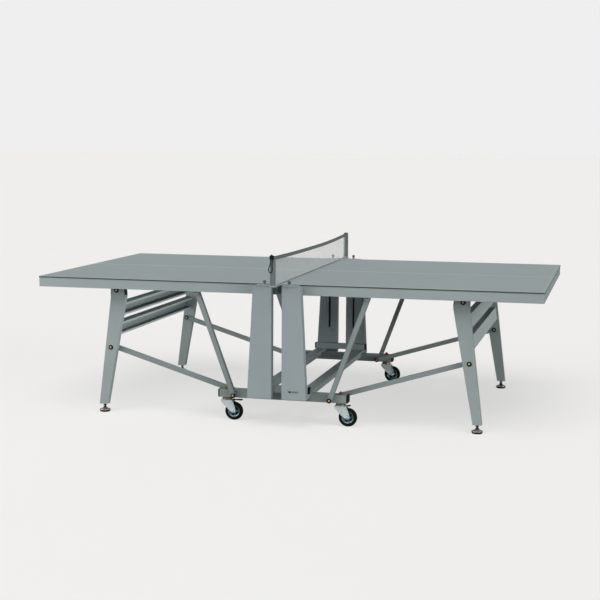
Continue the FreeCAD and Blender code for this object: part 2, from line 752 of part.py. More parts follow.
def place_caster(shape, sx, sy):
    """Move a caster piece from the origin to its corner."""
    moved = shape.copy()
    moved.translate(V(sx * SWIVEL_AT[0], sy * SWIVEL_AT[1], 0.0))
    return moved


# ---- assembly ------------------------------------------------------------
def both_ends(name, shape):
    """The right-hand piece and its mirror image on the left."""
    return {name + "_right": shape, name + "_left": mirror_x(shape)}


def table_nodes():
    """The folding halves with their legs, struts and links."""
    nodes = {}
    nodes.update(both_ends("top_panel", top_panel()))
    nodes.update(both_ends("apron", apron()))
    nodes.update(both_ends("top_rails", top_rails()))
    nodes.update(both_ends("hanger_plates", hanger_plates()))
    nodes.update(both_ends("leg_brackets", near_and_far(leg_bracket())))
    nodes.update(both_ends("slot_pins", slot_pins()))
    nodes.update(both_ends("leg_far", leg()))
    nodes.update(both_ends("leg_near", mirror_y(leg())))
    nodes.update(both_ends("leg_channels", leg_channels()))
    nodes.update(both_ends("leg_trim", leg_trim()))
    nodes.update(both_ends("struts", near_and_far(strut())))
    nodes.update(both_ends("links", near_and_far(link())))
    return nodes


def base_nodes():
    """The frame that stands on the casters."""
    nodes = {}
    nodes["side_beam_far"] = side_beam()
    nodes["side_beam_near"] = mirror_y(side_beam())
    nodes.update(both_ends("cross_beam", cross_beam()))
    tie = tube_x(TIE_BAR_X, TIE_BAR_Y, TIE_BAR_Z)
    nodes["tie_bars"] = near_and_far(tie)
    nodes.update(both_ends("post_far", post()))
    nodes.update(both_ends("post_near", mirror_y(post())))
    nodes["end_caps"] = end_caps()
    nodes["frame_bolts"] = frame_bolts()
    return nodes


def net_nodes():
    """The net with its poles, brackets and cord."""
    nodes = {}
    nodes["net_bracket_far"] = net_bracket()
    nodes["net_bracket_near"] = mirror_y(net_bracket())
    nodes["net_poles"] = near_and_far(net_pole())
    nodes["net_tapes"] = net_tapes()
    nodes["net_mesh"] = net_mesh()
    nodes["cord_lock"] = cord_lock()
    nodes["net_cord"] = net_cord()
    return nodes


def corner_nodes():
    """Feet, knobs and casters at the four corners."""
    nodes = {}
    for side, sy in (("near", -1), ("far", 1)):
        for end, sx in (("left", -1), ("right", 1)):
            tag = side + "_" + end
            nodes["foot_" + tag] = foot(sx, sy)
            nodes["knob_" + tag] = release_knob(sx, sy)
            nodes["fork_" + tag] = place_caster(caster_fork(), sx, sy)
            nodes["wheel_" + tag] = place_caster(caster_wheel(), sx, sy)
    for end, sx in (("left", -1), ("right", 1)):
        pedal = brake_pedal(PEDAL_REACH[end])
        nodes["pedal_near_" + end] = place_caster(pedal, sx, -1)
    return nodes


def main():
    """Build every node and write it to parts/."""
    os.makedirs("parts", exist_ok=True)
    nodes = {}
    for group in (base_nodes(), table_nodes(), net_nodes(), corner_nodes()):
        nodes.update(group)
    for name, shape in nodes.items():
        if not shape.isValid():
            print("INVALID", name)
        shape.exportStep("parts/" + name + ".step")
    print(len(nodes), "nodes")


main()
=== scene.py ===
import bpy
import bmesh
import json
import math
import random
from mathutils import Matrix, Vector


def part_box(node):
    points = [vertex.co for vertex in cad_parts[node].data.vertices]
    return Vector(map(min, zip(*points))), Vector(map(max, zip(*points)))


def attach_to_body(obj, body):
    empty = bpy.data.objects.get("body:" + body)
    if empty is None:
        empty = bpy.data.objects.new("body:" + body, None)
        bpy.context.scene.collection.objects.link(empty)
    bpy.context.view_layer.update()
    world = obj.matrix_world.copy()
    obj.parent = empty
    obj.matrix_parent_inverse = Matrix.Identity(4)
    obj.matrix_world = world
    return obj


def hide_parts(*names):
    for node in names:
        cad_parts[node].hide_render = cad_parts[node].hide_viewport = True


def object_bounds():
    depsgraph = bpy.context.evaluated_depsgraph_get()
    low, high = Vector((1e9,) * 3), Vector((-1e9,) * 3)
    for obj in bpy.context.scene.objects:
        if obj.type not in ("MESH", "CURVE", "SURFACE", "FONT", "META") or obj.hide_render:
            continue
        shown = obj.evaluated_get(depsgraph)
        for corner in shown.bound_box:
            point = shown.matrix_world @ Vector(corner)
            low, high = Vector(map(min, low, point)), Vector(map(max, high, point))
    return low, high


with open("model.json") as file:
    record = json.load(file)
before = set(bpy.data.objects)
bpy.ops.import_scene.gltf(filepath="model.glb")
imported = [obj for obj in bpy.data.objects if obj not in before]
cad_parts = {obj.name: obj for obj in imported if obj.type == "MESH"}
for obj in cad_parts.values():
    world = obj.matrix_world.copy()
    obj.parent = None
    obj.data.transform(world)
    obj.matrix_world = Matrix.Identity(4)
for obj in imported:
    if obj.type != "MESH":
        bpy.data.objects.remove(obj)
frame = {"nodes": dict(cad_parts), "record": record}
CAD_BOUNDS = [list(map(float, p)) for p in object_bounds()]
NODES = frame["nodes"]
JOINTS = {j["name"]: j for j in frame["record"]["behaviour"]["joints"]}
SIDES = (("near", -1.0), ("far", 1.0))
ENDS = (("left", -1.0), ("right", 1.0))
CORNERS = [a + "_" + b for a, _ in SIDES for b, _ in ENDS]
MM = 0.001


# ---- geometry helpers ----------------------------------------------------
def centre(node):
    """Middle of a node's box."""
    low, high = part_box(node)
    return (Vector(low) + Vector(high)) / 2.0


def axis_of(low, high):
    """Foot of the upright axis through a box's middle."""
    return Vector(((low[0] + high[0]) / 2, (low[1] + high[1]) / 2, 0.0))


def span(node, index, part=lambda v: True):
    """Least and greatest distance from the middle plane of a node's points."""
    values = [abs(v.co[index]) for v in NODES[node].data.vertices if part(v.co)]
    return min(values), max(values)


def add_object(name, bm, material, smooth=True):
    """Mesh object from a bmesh."""
    mesh = bpy.data.meshes.new(name)
    bmesh.ops.recalc_face_normals(bm, faces=bm.faces)
    bm.to_mesh(mesh)
    bm.free()
    obj = place_object(name, mesh)
    if material is not None:
        mesh.materials.append(material)
    if smooth:
        for poly in mesh.polygons:
            poly.use_smooth = True
        mesh.set_sharp_from_angle(angle=math.radians(32.0))
    return obj


def place_object(name, data):
    """New object in the scene that shows its data."""
    obj = bpy.data.objects.new(name, data)
    bpy.context.collection.objects.link(obj)
    return obj


def attach(piece, body, node=None):
    """Say which body a piece rides on, and the node that it replaces."""
    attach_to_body(piece, body)
    if node is not None:
        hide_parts(node)


def axis_point(axis, centre_at, radius, angle, along):
    """Point on a circle about an axis through a centre."""
    c = math.cos(angle) * radius
    s = math.sin(angle) * radius
    if axis == "y":
        local = Vector((c, along, s))
    elif axis == "x":
        local = Vector((along, c, s))
    else:
        local = Vector((c, s, along))
    return centre_at + local


def lathe_into(bm, profile, centre_at, axis, steps=48):
    """Spin (radius, along) points about an axis into a bmesh."""
    rings = []
    for radius, along in profile:
        if radius < 1e-6:
            rings.append([bm.verts.new(axis_point(axis, centre_at, 0.0, 0.0, along))])
            continue
        ring = []
        for i in range(steps):
            angle = 2.0 * math.pi * i / steps
            ring.append(bm.verts.new(axis_point(axis, centre_at, radius, angle, along)))
        rings.append(ring)
    for a, b in zip(rings, rings[1:]):
        join_rings(bm, a, b, steps)


def join_rings(bm, a, b, steps):
    """Faces between two rings, either of which may be one point."""
    for i in range(steps):
        j = (i + 1) % steps
        if len(a) == 1 and len(b) == 1:
            return
        if len(a) == 1:
            bm.faces.new((a[0], b[i], b[j]))
        elif len(b) == 1:
            bm.faces.new((a[i], b[0], a[j]))
        else:
            bm.faces.new((a[i], b[i], b[j], a[j]))


def lathe(name, profile, centre_at, axis, material, steps=48):
    """One turned piece."""
    bm = bmesh.new()
    lathe_into(bm, profile, centre_at, axis, steps)
    return add_object(name, bm, material)


def rounded_rect(w, h, r, steps=5):
    """Outline of a rectangle with round corners."""
    pts = []
    for cx, cy, a0 in ((1, 1, 0), (-1, 1, 90), (-1, -1, 180), (1, -1, 270)):
        for i in range(steps + 1):
            a = math.radians(a0 + 90.0 * i / steps)
            pts.append((cx * (w / 2 - r) + r * math.cos(a),
                        cy * (h / 2 - r) + r * math.sin(a)))
    return pts


def extrude_outline(bm, outline, place, depth0, depth1):
    """Flat-sided piece: outline points (u, v) put by place(u, v, depth)."""
    low = [bm.verts.new(place(u, v, depth0)) for u, v in outline]
    high = [bm.verts.new(place(u, v, depth1)) for u, v in outline]
    bm.faces.new(low)
    bm.faces.new(high)
    n = len(outline)
    for i in range(n):
        j = (i + 1) % n
        bm.faces.new((low[i], low[j], high[j], high[i]))


def soften(obj, width, segments=2):
    """Bevel every sharp edge a little, as a modifier."""
    mod = obj.modifiers.new("soften", "BEVEL")
    mod.width = width
    mod.segments = segments
    mod.limit_method = "ANGLE"
    mod.angle_limit = math.radians(35.0)
    mod.harden_normals = True


def apply_modifier(obj, name):
    """Turn one modifier into mesh."""
    bpy.context.view_layer.objects.active = obj
    bpy.ops.object.modifier_apply(modifier=name)


def thicken(obj, thickness, offset):
    """Give a bare sheet its thickness; offset says to which side."""
    mod = obj.modifiers.new("sheet", "SOLIDIFY")
    mod.thickness = thickness
    mod.offset = offset
    apply_modifier(obj, mod.name)


def join_parts(name, objs):
    """Join separate objects, each with its own material, into one."""
    bpy.ops.object.select_all(action="DESELECT")
    for o in objs:
        o.select_set(True)
    bpy.context.view_layer.objects.active = objs[0]
    bpy.ops.object.join()
    objs[0].name = name
    return objs[0]


# ---- node materials ------------------------------------------------------
class Graph:
    """Small helper that builds one node material."""

    def __init__(self, name):
        """Empty material with its shader and coordinates."""
        self.mat = bpy.data.materials.new(name)
        self.mat.use_nodes = True
        self.tree = self.mat.node_tree
        self.shader = self.tree.nodes["Principled BSDF"]
        self.coords = self.tree.nodes.new("ShaderNodeTexCoord")

    def node(self, kind, **values):
        """New node with its inputs or settings filled in."""
        n = self.tree.nodes.new(kind)
        for key, value in values.items():
            if key in n.inputs:
                n.inputs[key].default_value = value
            else:
                setattr(n, key, value)
        return n

    def link(self, a, b):
        """Wire an output to an input."""
        self.tree.links.new(a, b)

    def noise(self, scale, detail=2.0, stretch=None):
        """Noise over object space, 0 to 1."""
        n = self.node("ShaderNodeTexNoise", Scale=scale, Detail=detail)
        source = self.coords.outputs["Object"]
        if stretch is not None:
            m = self.node("ShaderNodeMapping")
            m.inputs["Scale"].default_value = stretch
            self.link(source, m.inputs["Vector"])
            source = m.outputs["Vector"]
        self.link(source, n.inputs["Vector"])
        return n.outputs["Fac"]

    def ramp(self, fac, stops):
        """Colour ramp over (place, colour) stops."""
        r = self.node("ShaderNodeValToRGB")
        r.color_ramp.elements[0].position = stops[0][0]
        r.color_ramp.elements[0].color = tuple(stops[0][1]) + (1.0,)
        r.color_ramp.elements[1].position = stops[-1][0]
        r.color_ramp.elements[1].color = tuple(stops[-1][1]) + (1.0,)
        for pos, col in stops[1:-1]:
            e = r.color_ramp.elements.new(pos)
            e.color = tuple(col) + (1.0,)
        self.link(fac, r.inputs["Fac"])
        return r.outputs["Color"]

    def math(self, op, a, b=None, clamp=False):
        """One arithmetic node."""
        m = self.node("ShaderNodeMath", operation=op, use_clamp=clamp)
        self.feed(a, m.inputs[0])
        if b is not None:
            self.feed(b, m.inputs[1])
        return m.outputs[0]

    def feed(self, value, socket):
        """A plain number or a wire into a socket."""
        if isinstance(value, (int, float)):
            socket.default_value = value
        else:
            self.link(value, socket)

    def mix(self, fac, a, b):
        """Blend from colour a to colour b."""
        m = self.node("ShaderNodeMix", data_type="RGBA")
        self.feed(fac, m.inputs["Factor"])
        for value, index in ((a, 6), (b, 7)):
            if isinstance(value, (tuple, list)):
                m.inputs[index].default_value = tuple(value) + (1.0,)
            else:
                self.link(value, m.inputs[index])
        return m.outputs[2]

    def range(self, fac, low, high):
        """Stretch 0 to 1 over low to high."""
        m = self.node("ShaderNodeMapRange")
        m.inputs["To Min"].default_value = low
        m.inputs["To Max"].default_value = high
        self.link(fac, m.inputs["Value"])
        return m.outputs["Result"]

    def bump(self, height, strength, distance, normal=None):
        """Surface relief from a height."""
        b = self.node("ShaderNodeBump", Strength=strength, Distance=distance)
        self.link(height, b.inputs["Height"])
        if normal is not None:
            self.link(normal, b.inputs["Normal"])
        return b.outputs["Normal"]

    def bevel(self, radius):
        """Normal with rounded edges."""
        return self.node("ShaderNodeBevel", Radius=radius, samples=4).outputs["Normal"]

    def edge_mask(self, rounded):
        """1 on a sharp outer edge, 0 on a flat face."""
        geo = self.node("ShaderNodeNewGeometry")
        dot = self.node("ShaderNodeVectorMath", operation="DOT_PRODUCT")
        self.link(rounded, dot.inputs[0])
        self.link(geo.outputs["True Normal"], dot.inputs[1])
        off = self.math("SUBTRACT", 1.0, dot.outputs["Value"])
        return self.math("MULTIPLY", off, 3.5, clamp=True)

    def set(self, name, value):
        """Give one of the shader's inputs a value or a wire."""
        socket = self.shader.inputs[name]
        if isinstance(value, (int, float)):
            socket.default_value = value
        elif isinstance(value, (tuple, list)):
            socket.default_value = tuple(value) + (1.0,)
        else:
            self.link(value, socket)

    def axis(self, index):
        """One object coordinate, in metres."""
        s = self.node("ShaderNodeSeparateXYZ")
        self.link(self.coords.outputs["Object"], s.inputs["Vector"])
        return s.outputs[index]


def tone(color, factor):
    """Lighter or darker shade of a colour."""
    return tuple(max(0.0, min(1.0, c * factor)) for c in color)


def powder_coat(name, color, rough=0.42, round_edge=0.0012, recess=1.0):
    """Powder-coated sheet steel: orange peel, a painted highlight on sharp edges, and painted shade in
    deep folds.
    """
    g = Graph(name)
    drift = g.noise(3.2, 4.0)
    base = g.ramp(drift, ((0.25, tone(color, 0.94)), (0.75, tone(color, 1.05))))
    speck = g.noise(2600.0, 1.0)
    base = g.mix(g.math("MULTIPLY", g.math("GREATER_THAN", speck, 0.68), 0.18),
                 base, tone(color, 0.6))
    rounded = g.bevel(round_edge)
    edge = g.edge_mask(rounded)
    # Painted highlight: sharp edges are lightened in noisy patches.
    wear_and_edge_highlight = g.math("MULTIPLY", edge, g.range(g.noise(60.0, 3.0), 0.1, 0.55))
    base = g.mix(wear_and_edge_highlight, base, tone(color, 1.35))
    # Painted shade: the colour darkens towards tone(color, recess) in hollows found by ambient
    # occlusion.
    if recess < 1.0:
        hollow_shade_ao = g.node("ShaderNodeAmbientOcclusion", samples=8)
        hollow_shade_ao.inputs["Distance"].default_value = 0.06
        base = g.mix(g.range(hollow_shade_ao.outputs["AO"], 1.0, 0.0), base, tone(color, recess))
    g.set("Base Color", base)
    smear = g.noise(18.0, 3.0)
    g.set("Roughness", g.range(smear, rough - 0.06, rough + 0.08))
    g.set("Normal", g.bump(g.noise(650.0, 3.0), 0.22, 0.0004, rounded))
    g.set("Specular IOR Level", 0.45)
    return g.mat


BORDER_WIDTH = 0.020        # painted border, and how far the core stays from the middle
CENTRE_HALF = 0.0040        # half the width of the centre line


def surface_coat(name, color, line_color):
    """Matt playing surface with painted lines and a dark laminate core."""
    g = Graph(name)
    drift = g.noise(2.0, 5.0)
    base = g.ramp(drift, ((0.2, tone(color, 0.965)), (0.8, tone(color, 1.03))))
    x = g.math("ABSOLUTE", g.axis(0))
    y = g.math("ABSOLUTE", g.axis(1))
    half_l = CAD_BOUNDS[1][0]
    half_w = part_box("top_panel_left")[1][1]
    end_line = g.math("GREATER_THAN", x, half_l - BORDER_WIDTH)
    side_line = g.math("GREATER_THAN", y, half_w - BORDER_WIDTH)
    mid_line = g.math("LESS_THAN", y, CENTRE_HALF)
    sep = g.node("ShaderNodeSeparateXYZ")
    g.link(g.coords.outputs["Normal"], sep.inputs["Vector"])
    above = g.math("GREATER_THAN", sep.outputs[2], 0.5)
    border = g.math("MAXIMUM", end_line, side_line)
    lines = g.math("MAXIMUM", g.math("MULTIPLY", border, 0.04), g.math("MULTIPLY", mid_line, 0.85))
    wear_and_edge_highlight = g.range(g.noise(260.0, 4.0), 0.75, 1.0)
    lines = g.math("MULTIPLY", lines, above)
    base = g.mix(g.math("MULTIPLY", lines, wear_and_edge_highlight), base, line_color)
    up = g.math("ABSOLUTE", sep.outputs[2])
    outer = g.math("GREATER_THAN", x, BORDER_WIDTH)
    side = g.math("MULTIPLY", g.math("LESS_THAN", up, 0.25), outer)
    core = g.ramp(g.noise(900.0, 2.0, (1.0, 1.0, 40.0)),
                  ((0.3, (0.030, 0.036, 0.036)), (0.7, (0.052, 0.060, 0.060))))
    g.set("Base Color", g.mix(side, base, core))
    g.set("Roughness", g.range(g.noise(30.0, 3.0), 0.50, 0.60))
    fine = g.noise(1500.0, 2.0)
    g.set("Normal", g.bump(fine, 0.25, 0.0003))
    g.set("Specular IOR Level", 0.35)
    return g.mat


def zinc(name, color, rough=0.34, blue=0.25, metal=0.85):
    """Zinc-plated pressing: crystalline patches with a faint blue cast."""
    g = Graph(name)
    patch = g.noise(140.0, 4.0)
    base = g.ramp(patch, ((0.3, tone(color, 0.78)), (0.55, color), (0.8, tone(color, 1.1))))
    tint = g.noise(45.0, 2.0)
    cast = (color[0] * 0.72, color[1] * 0.92, color[2] * 1.12)
    base = g.mix(g.range(tint, 0.0, blue * 2.0), base, cast)
    rounded = g.bevel(0.0008)
    g.set("Base Color", base)
    g.set("Metallic", metal)
    g.set("Roughness", g.range(g.noise(220.0, 3.0), rough - 0.08, rough + 0.14))
    g.set("Normal", g.bump(g.noise(700.0, 2.0), 0.15, 0.0003, rounded))
    return g.mat


def brass(name, color):
    """Passivated bolt head: yellow with darker turning marks."""
    g = Graph(name)
    base = g.ramp(g.noise(300.0, 3.0), ((0.3, tone(color, 0.55)), (0.7, color)))
    g.set("Base Color", base)
    g.set("Metallic", 0.9)
    g.set("Roughness", g.range(g.noise(800.0, 2.0), 0.25, 0.45))
    g.set("Normal", g.bump(g.noise(1200.0, 2.0), 0.2, 0.0002))
    return g.mat


def moulded(name, color):
    """Moulded plastic or rubber with a fine grain and a painted highlight on its edges."""
    g = Graph(name)
    rounded = g.bevel(0.0010)
    base = g.ramp(g.noise(90.0, 4.0), ((0.3, tone(color, 0.8)), (0.8, tone(color, 1.4))))
    edge = g.edge_mask(rounded)
    # Painted highlight: sharp edges are lightened.
    base = g.mix(g.math("MULTIPLY", edge, 0.35), base, tone(color, 3.2))
    g.set("Base Color", base)
    g.set("Roughness", g.range(g.noise(240.0, 3.0), 0.43, 0.62))
    g.set("Specular IOR Level", 0.2)
    g.set("Normal", g.bump(g.noise(1800.0, 2.0), 0.25, 0.0003, rounded))
    return g.mat


def tyre_rubber(name, color):
    """Black tyre rubber, greyer with dust on its tread."""
    g = Graph(name)
    dust = g.noise(120.0, 5.0)
    base = g.ramp(dust, ((0.35, color), (0.85, tone(color, 2.2))))
    g.set("Base Color", base)
    g.set("Roughness", g.range(g.noise(400.0, 2.0), 0.50, 0.70))
    g.set("Specular IOR Level", 0.12)
    g.set("Normal", g.bump(g.noise(900.0, 3.0), 0.3, 0.0004))
    return g.mat


def woven(name, color, scale=900.0, sheen=0.1):
    """Plain woven tape: crossed threads in the two directions of the net."""
    g = Graph(name)
    warp = g.node("ShaderNodeTexWave", Scale=scale / 6.0, bands_direction="Z")
    weft = g.node("ShaderNodeTexWave", Scale=scale / 6.0, bands_direction="Y")
    for w in (warp, weft):
        w.inputs["Distortion"].default_value = 0.6
        g.link(g.coords.outputs["Object"], w.inputs["Vector"])
    cloth = g.math("MULTIPLY", warp.outputs["Fac"], weft.outputs["Fac"])
    drift = g.noise(25.0, 3.0)
    base = g.ramp(drift, ((0.3, tone(color, 0.9)), (0.75, tone(color, 1.1))))
    base = g.mix(g.math("MULTIPLY", cloth, 0.25), base, tone(color, 1.5))
    g.set("Base Color", base)
    g.set("Roughness", 0.85)
    g.set("Sheen Weight", sheen)
    g.set("Specular IOR Level", 0.2)
    g.set("Normal", g.bump(cloth, 0.4, 0.0004))
    return g.mat


GREY = (0.265, 0.313, 0.315)
PAINT = powder_coat("paint_powder_coat", GREY)
SURFACE = surface_coat("surface_laminate", (0.292, 0.345, 0.345), (0.76, 0.80, 0.78))
ZINC = zinc("zinc_plate", (0.60, 0.63, 0.62))
HUB = zinc("hub_plate", (0.14, 0.23, 0.24), 0.26, 0.3)
FORK = zinc("fork_zinc", (0.66, 0.72, 0.71), 0.42, 0.15, 0.45)
RACE = zinc("race_zinc", (0.30, 0.26, 0.19), 0.34, 0.05)
PEDAL = moulded("pedal_plastic", (0.016, 0.011, 0.008))
STEM = zinc("foot_stem", (0.045, 0.040, 0.038), 0.32, 0.05)
STEEL = zinc("foot_steel", (0.55, 0.50, 0.48), 0.24, 0.05)
BRASS = brass("bolt_brass", (0.72, 0.50, 0.30))
COPPER = brass("nut_copper", (0.38, 0.17, 0.09))
BLACK = moulded("black_plastic", (0.0025, 0.0025, 0.0025))
WASHER = moulded("washer_rubber", (0.003, 0.003, 0.003))
TYRE = tyre_rubber("tyre_rubber", (0.0012, 0.0012, 0.0012))
TAPE = woven("net_tape", (0.104, 0.125, 0.125))
SLEEVE = woven("net_sleeve", (0.125, 0.148, 0.148))
TAPE_EDGE = woven("net_tape_edge", (0.052, 0.063, 0.063))
NETTING = woven("net_thread", (0.46, 0.46, 0.46), 2400.0)
CORD = woven("cord_braid", (0.006, 0.006, 0.006), 3600.0, sheen=0.0)
BARS = powder_coat("bar_powder_coat", (0.205, 0.243, 0.243), round_edge=0.004)
UPRIGHTS = powder_coat("upright_powder_coat", (0.255, 0.300, 0.316), round_edge=0.0025)
# Painted light and shade: the channels get a lighter copy of the frame grey, with painted shade in
# their hollows.
CHANNEL_LIT_AND_SHADED = powder_coat("channel_coat_painted_light_and_shade", tone(GREY, 1.45), round_edge=0.003, recess=0.05)
# Painted shade: the knob colour is darkened to stand in for the shade on the knobs.
KNOB_SHADED = powder_coat("knob_coat_painted_shade", (0.085, 0.108, 0.108), 0.34)


# ---- carried-over CAD nodes ---------------------------------------------
def paint_nodes():
    """Give every CAD node that stays its finished material."""
    table = (
        ("top_panel", SURFACE),
        ("end_caps", BLACK),
        ("slot_pins", ZINC),
        ("struts", BARS),
        ("links", BARS),
        ("side_beam", BARS),
        ("cross_beam", PAINT),
        ("tie_bars", PAINT),
        ("leg_channels", CHANNEL_LIT_AND_SHADED),
        ("legs", UPRIGHTS),
        ("post", UPRIGHTS),
    )
    for name, obj in NODES.items():
        chosen = PAINT
        for start, material in table:
            if name.startswith(start):
                chosen = material
        obj.data.materials.clear()
        obj.data.materials.append(chosen)


# ---- bolts ---------------------------------------------------------------
# washer radius and thickness, head radius and height
PIVOT_OUT = (0.0135, 0.0030, 0.0058, 0.0046)
PIVOT_IN = (0.0132, 0.0028, 0.0056, 0.0046)
LEG_TOP = (0.0132, 0.0026, 0.0058, 0.0046)
LEG_LINK = (0.0132, 0.0026, 0.0058, 0.0042)
LINK_END = (0.0132, 0.0027, 0.0056, 0.0040)


def washer_profile(inner, outer, along, thick, side):
    """Cupped washer profile along its axis."""
    s = side
    return (
        (inner, along),
        (outer, along),
        (outer + 0.0001, along + s * thick * 0.45),
        (outer - 0.0009, along + s * thick),
        (inner + 0.001, along + s * (thick + 0.0004)),
        (inner, along),
    )


def dome_profile(radius, along, height, side):
    """Domed socket head with a recess in its middle."""
    s = side
    return (
        (radius, along),
        (radius, along + s * height * 0.35),
        (radius * 0.9, along + s * height * 0.70),
        (radius * 0.66, along + s * height * 0.93),
        (radius * 0.44, along + s * height),
        (radius * 0.40, along + s * height * 0.75),
        (0.0, along + s * height * 0.70),
    )


def bolt_head(name, at, side, sizes, body):
    """Black washer with a brass domed head; side is the way it faces in Y."""
    washer_r, washer_t, head_r, head_h = sizes
    c = Vector((at[0], 0.0, at[2]))
    y = at[1]
    profile = washer_profile(head_r * 0.6, washer_r, y, washer_t, side)
    w = lathe(name + "_washer", profile, c, "y", WASHER)
    dome = dome_profile(head_r, y + side * washer_t, head_h, side)
    h = lathe(name + "_head", dome, c, "y", BRASS, 36)
    piece = join_parts(name, [w, h])
    attach(piece, body)
    return piece


def hex_into(bm, at, flats, z0, z1):
    """Hex nut standing on Z with chamfered corners."""
    r = flats / math.sqrt(3.0)
    rows = ((r * 0.93, z0), (r, z0 + (z1 - z0) * 0.12), (r, z1 - (z1 - z0) * 0.2), (r * 0.9, z1))
    profile = ((0.0, z0),) + rows + ((0.0, z1),)
    lathe_into(bm, profile, Vector((at[0], at[1], 0.0)), "z", 6)


def base_bolts():
    """Pivot bolts of the base and king bolts of the casters."""
    pieces = []
    for e, sx in ENDS:
        px, _, pz = JOINTS["strut_turn_" + e]["pos_m"]
        for s, sy in SIDES:
            pieces += base_pivot(e + "_" + s, px, pz, sy)
    for tag in CORNERS:
        x, y, _ = JOINTS["caster_swivel_" + tag]["pos_m"]
        pieces.append(king_bolt(tag, x, y))
    for p in pieces:
        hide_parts("frame_bolts")


def base_pivot(tag, px, pz, sy):
    """One shared pivot bolt: shaft, spacers, washers and heads."""
    end = tag.split("_")[0]
    link_in, link_out = span("links_" + end, 1, lambda p: p.z < pz + 0.03)
    strut_in, strut_out = span("struts_" + end, 1, lambda p: p.z < pz + 0.03)
    beam_in, beam_out = span("side_beam_near", 1)
    bolt = 0.006
    spacer = 0.0099
    rows = (
        (bolt, link_in - 0.004), (bolt, link_out), (spacer, link_out + 0.0003),
        (spacer, beam_in), (bolt, beam_in + 0.0002), (bolt, beam_out - 0.0002),
        (spacer, beam_out), (spacer, strut_in - 0.0003), (bolt, strut_in),
        (bolt, strut_out + 0.004),
    )
    rows = tuple((r, sy * y) for r, y in rows)
    shaft = lathe("pivot_shaft_" + tag, rows, Vector((px, 0.0, pz)), "y", ZINC, 32)
    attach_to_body(shaft, "base")
    outer = (px, sy * (strut_out + 0.0004), pz)
    inner = (px, sy * (link_in - 0.0004), pz)
    out = bolt_head("pivot_out_" + tag, outer, sy, PIVOT_OUT, "base")
    inn = bolt_head("pivot_in_" + tag, inner, -sy, PIVOT_IN, "base")
    return [shaft, out, inn]


def king_bolt(tag, x, y):
    """Nut and thread end of a caster's king bolt on top of the beam."""
    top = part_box("side_beam_near")[1][2]
    at = Vector((x, y, 0.0))
    bm = bmesh.new()
    lathe_into(bm, washer_profile(0.005, 0.0150, top, 0.0018, 1.0), at, "z", 32)
    hex_into(bm, (x, y), 0.0200, top + 0.0018, top + 0.0100)
    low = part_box("fork_" + tag)[1][2] - 0.0085
    rows = [(0.0, low), (0.0054, low), (0.0054, top)]
    z = top
    peak = top + 0.0155
    while z < peak - 0.0020:
        rows += [(0.0050, z), (0.0056, z + 0.0005)]
        z += 0.0010
    rows += [(0.0042, peak - 0.0006), (0.0, peak)]
    lathe_into(bm, rows, at, "z", 24)
    piece = add_object("king_bolt_" + tag, bm, COPPER)
    attach(piece, "base")
    return piece


def leg_bolts():
    """Leg pivots, link bolts and rubber stops that ride on the legs."""
    for e, sx in ENDS:
        lx, _, lz = JOINTS["leg_fold_" + e]["pos_m"]
        kx, kz = link_end_at(e, sx)
        face_in, face_out = span("leg_near_" + e, 1)
        ear_in, ear_out = span("leg_brackets_" + e, 1, lambda p: p.z < lz)
        pieces = []
        for s, sy in SIDES:
            tag = e + "_" + s
            top_at = (lx, sy * ear_out, lz)
            low_at = (kx, sy * (face_out + 0.0002), kz)
            body = "legs_" + e
            pieces.append(bolt_head("leg_pivot_" + tag, top_at, sy, LEG_TOP, body))
            pieces.append(bolt_head("leg_link_" + tag, low_at, sy, LEG_LINK, body))
            rows = ((0.0, ear_in - 0.0050), (0.0078, ear_in - 0.0050), (0.0078, ear_in - 0.0004),
                    (0.0050, ear_in - 0.0002), (0.0050, ear_out + 0.0020), (0.0, ear_out + 0.0020))
            rows = tuple((r, sy * y) for r, y in rows)
            shaft = lathe("leg_shaft_" + tag, rows, Vector((lx, 0.0, lz)), "y", ZINC, 28)
            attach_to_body(shaft, body)
            pieces.append(shaft)
            pieces.append(rubber_stop(tag, e, sx, sy))
        for p in pieces:
            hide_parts("leg_trim_" + e)
        link_bolts(e, kx, kz)


def link_end_at(e, sx):
    """Centre of the round end of a link, from its mesh."""
    points = [v.co for v in NODES["links_" + e].data.vertices]
    reach = max(abs(p.x) for p in points)
    rise = max(p.z for p in points)
    half = abs(JOINTS["link_turn_" + e]["pos_m"][0]) - min(abs(p.x) for p in points)
    return sx * (reach - half), rise - half


def rubber_stop(tag, e, sx, sy):
    """Ribbed rubber wedge on the slanted inner corner of a leg's top."""
    face_in, face_out = span("leg_near_" + e, 1)
    wedge = [v.co for v in NODES["leg_trim_" + e].data.vertices if abs(v.co.x) < 0.92]
    z0, z1 = min(p.z for p in wedge), max(p.z for p in wedge)
    low = [abs(p.x) for p in wedge if p.z < z0 + MM]
    high = [abs(p.x) for p in wedge if p.z > z1 - MM]
    outline = [(max(high), z1), (max(low), z0)]
    for i in range(17):
        t = i / 16
        groove = 0.0012 if i % 4 == 2 else 0.0
        outline.append((min(low) + (min(high) - min(low)) * t + groove, z0 + (z1 - z0) * t))
    bm = bmesh.new()
    place = lambda u, v, d: Vector((sx * u, sy * d, v))
    extrude_outline(bm, outline, place, face_in + 0.0021, face_out - 0.0021)
    bmesh.ops.recalc_face_normals(bm, faces=bm.faces)
    piece = add_object("leg_stop_" + tag, bm, BLACK)
    soften(piece, 0.0005)
    attach(piece, "legs_" + e)
    return piece


def link_bolts(e, kx, kz):
    """Washer and head on the inner face of a link's leg end."""
    inner, _ = span("links_" + e, 1, lambda p: p.z < kz - 0.05)
    for s, sy in SIDES:
        at = (kx, sy * (inner - 0.0002), kz)
        bolt_head("link_end_" + e + "_" + s, at, -sy, LINK_END, "links_" + e)


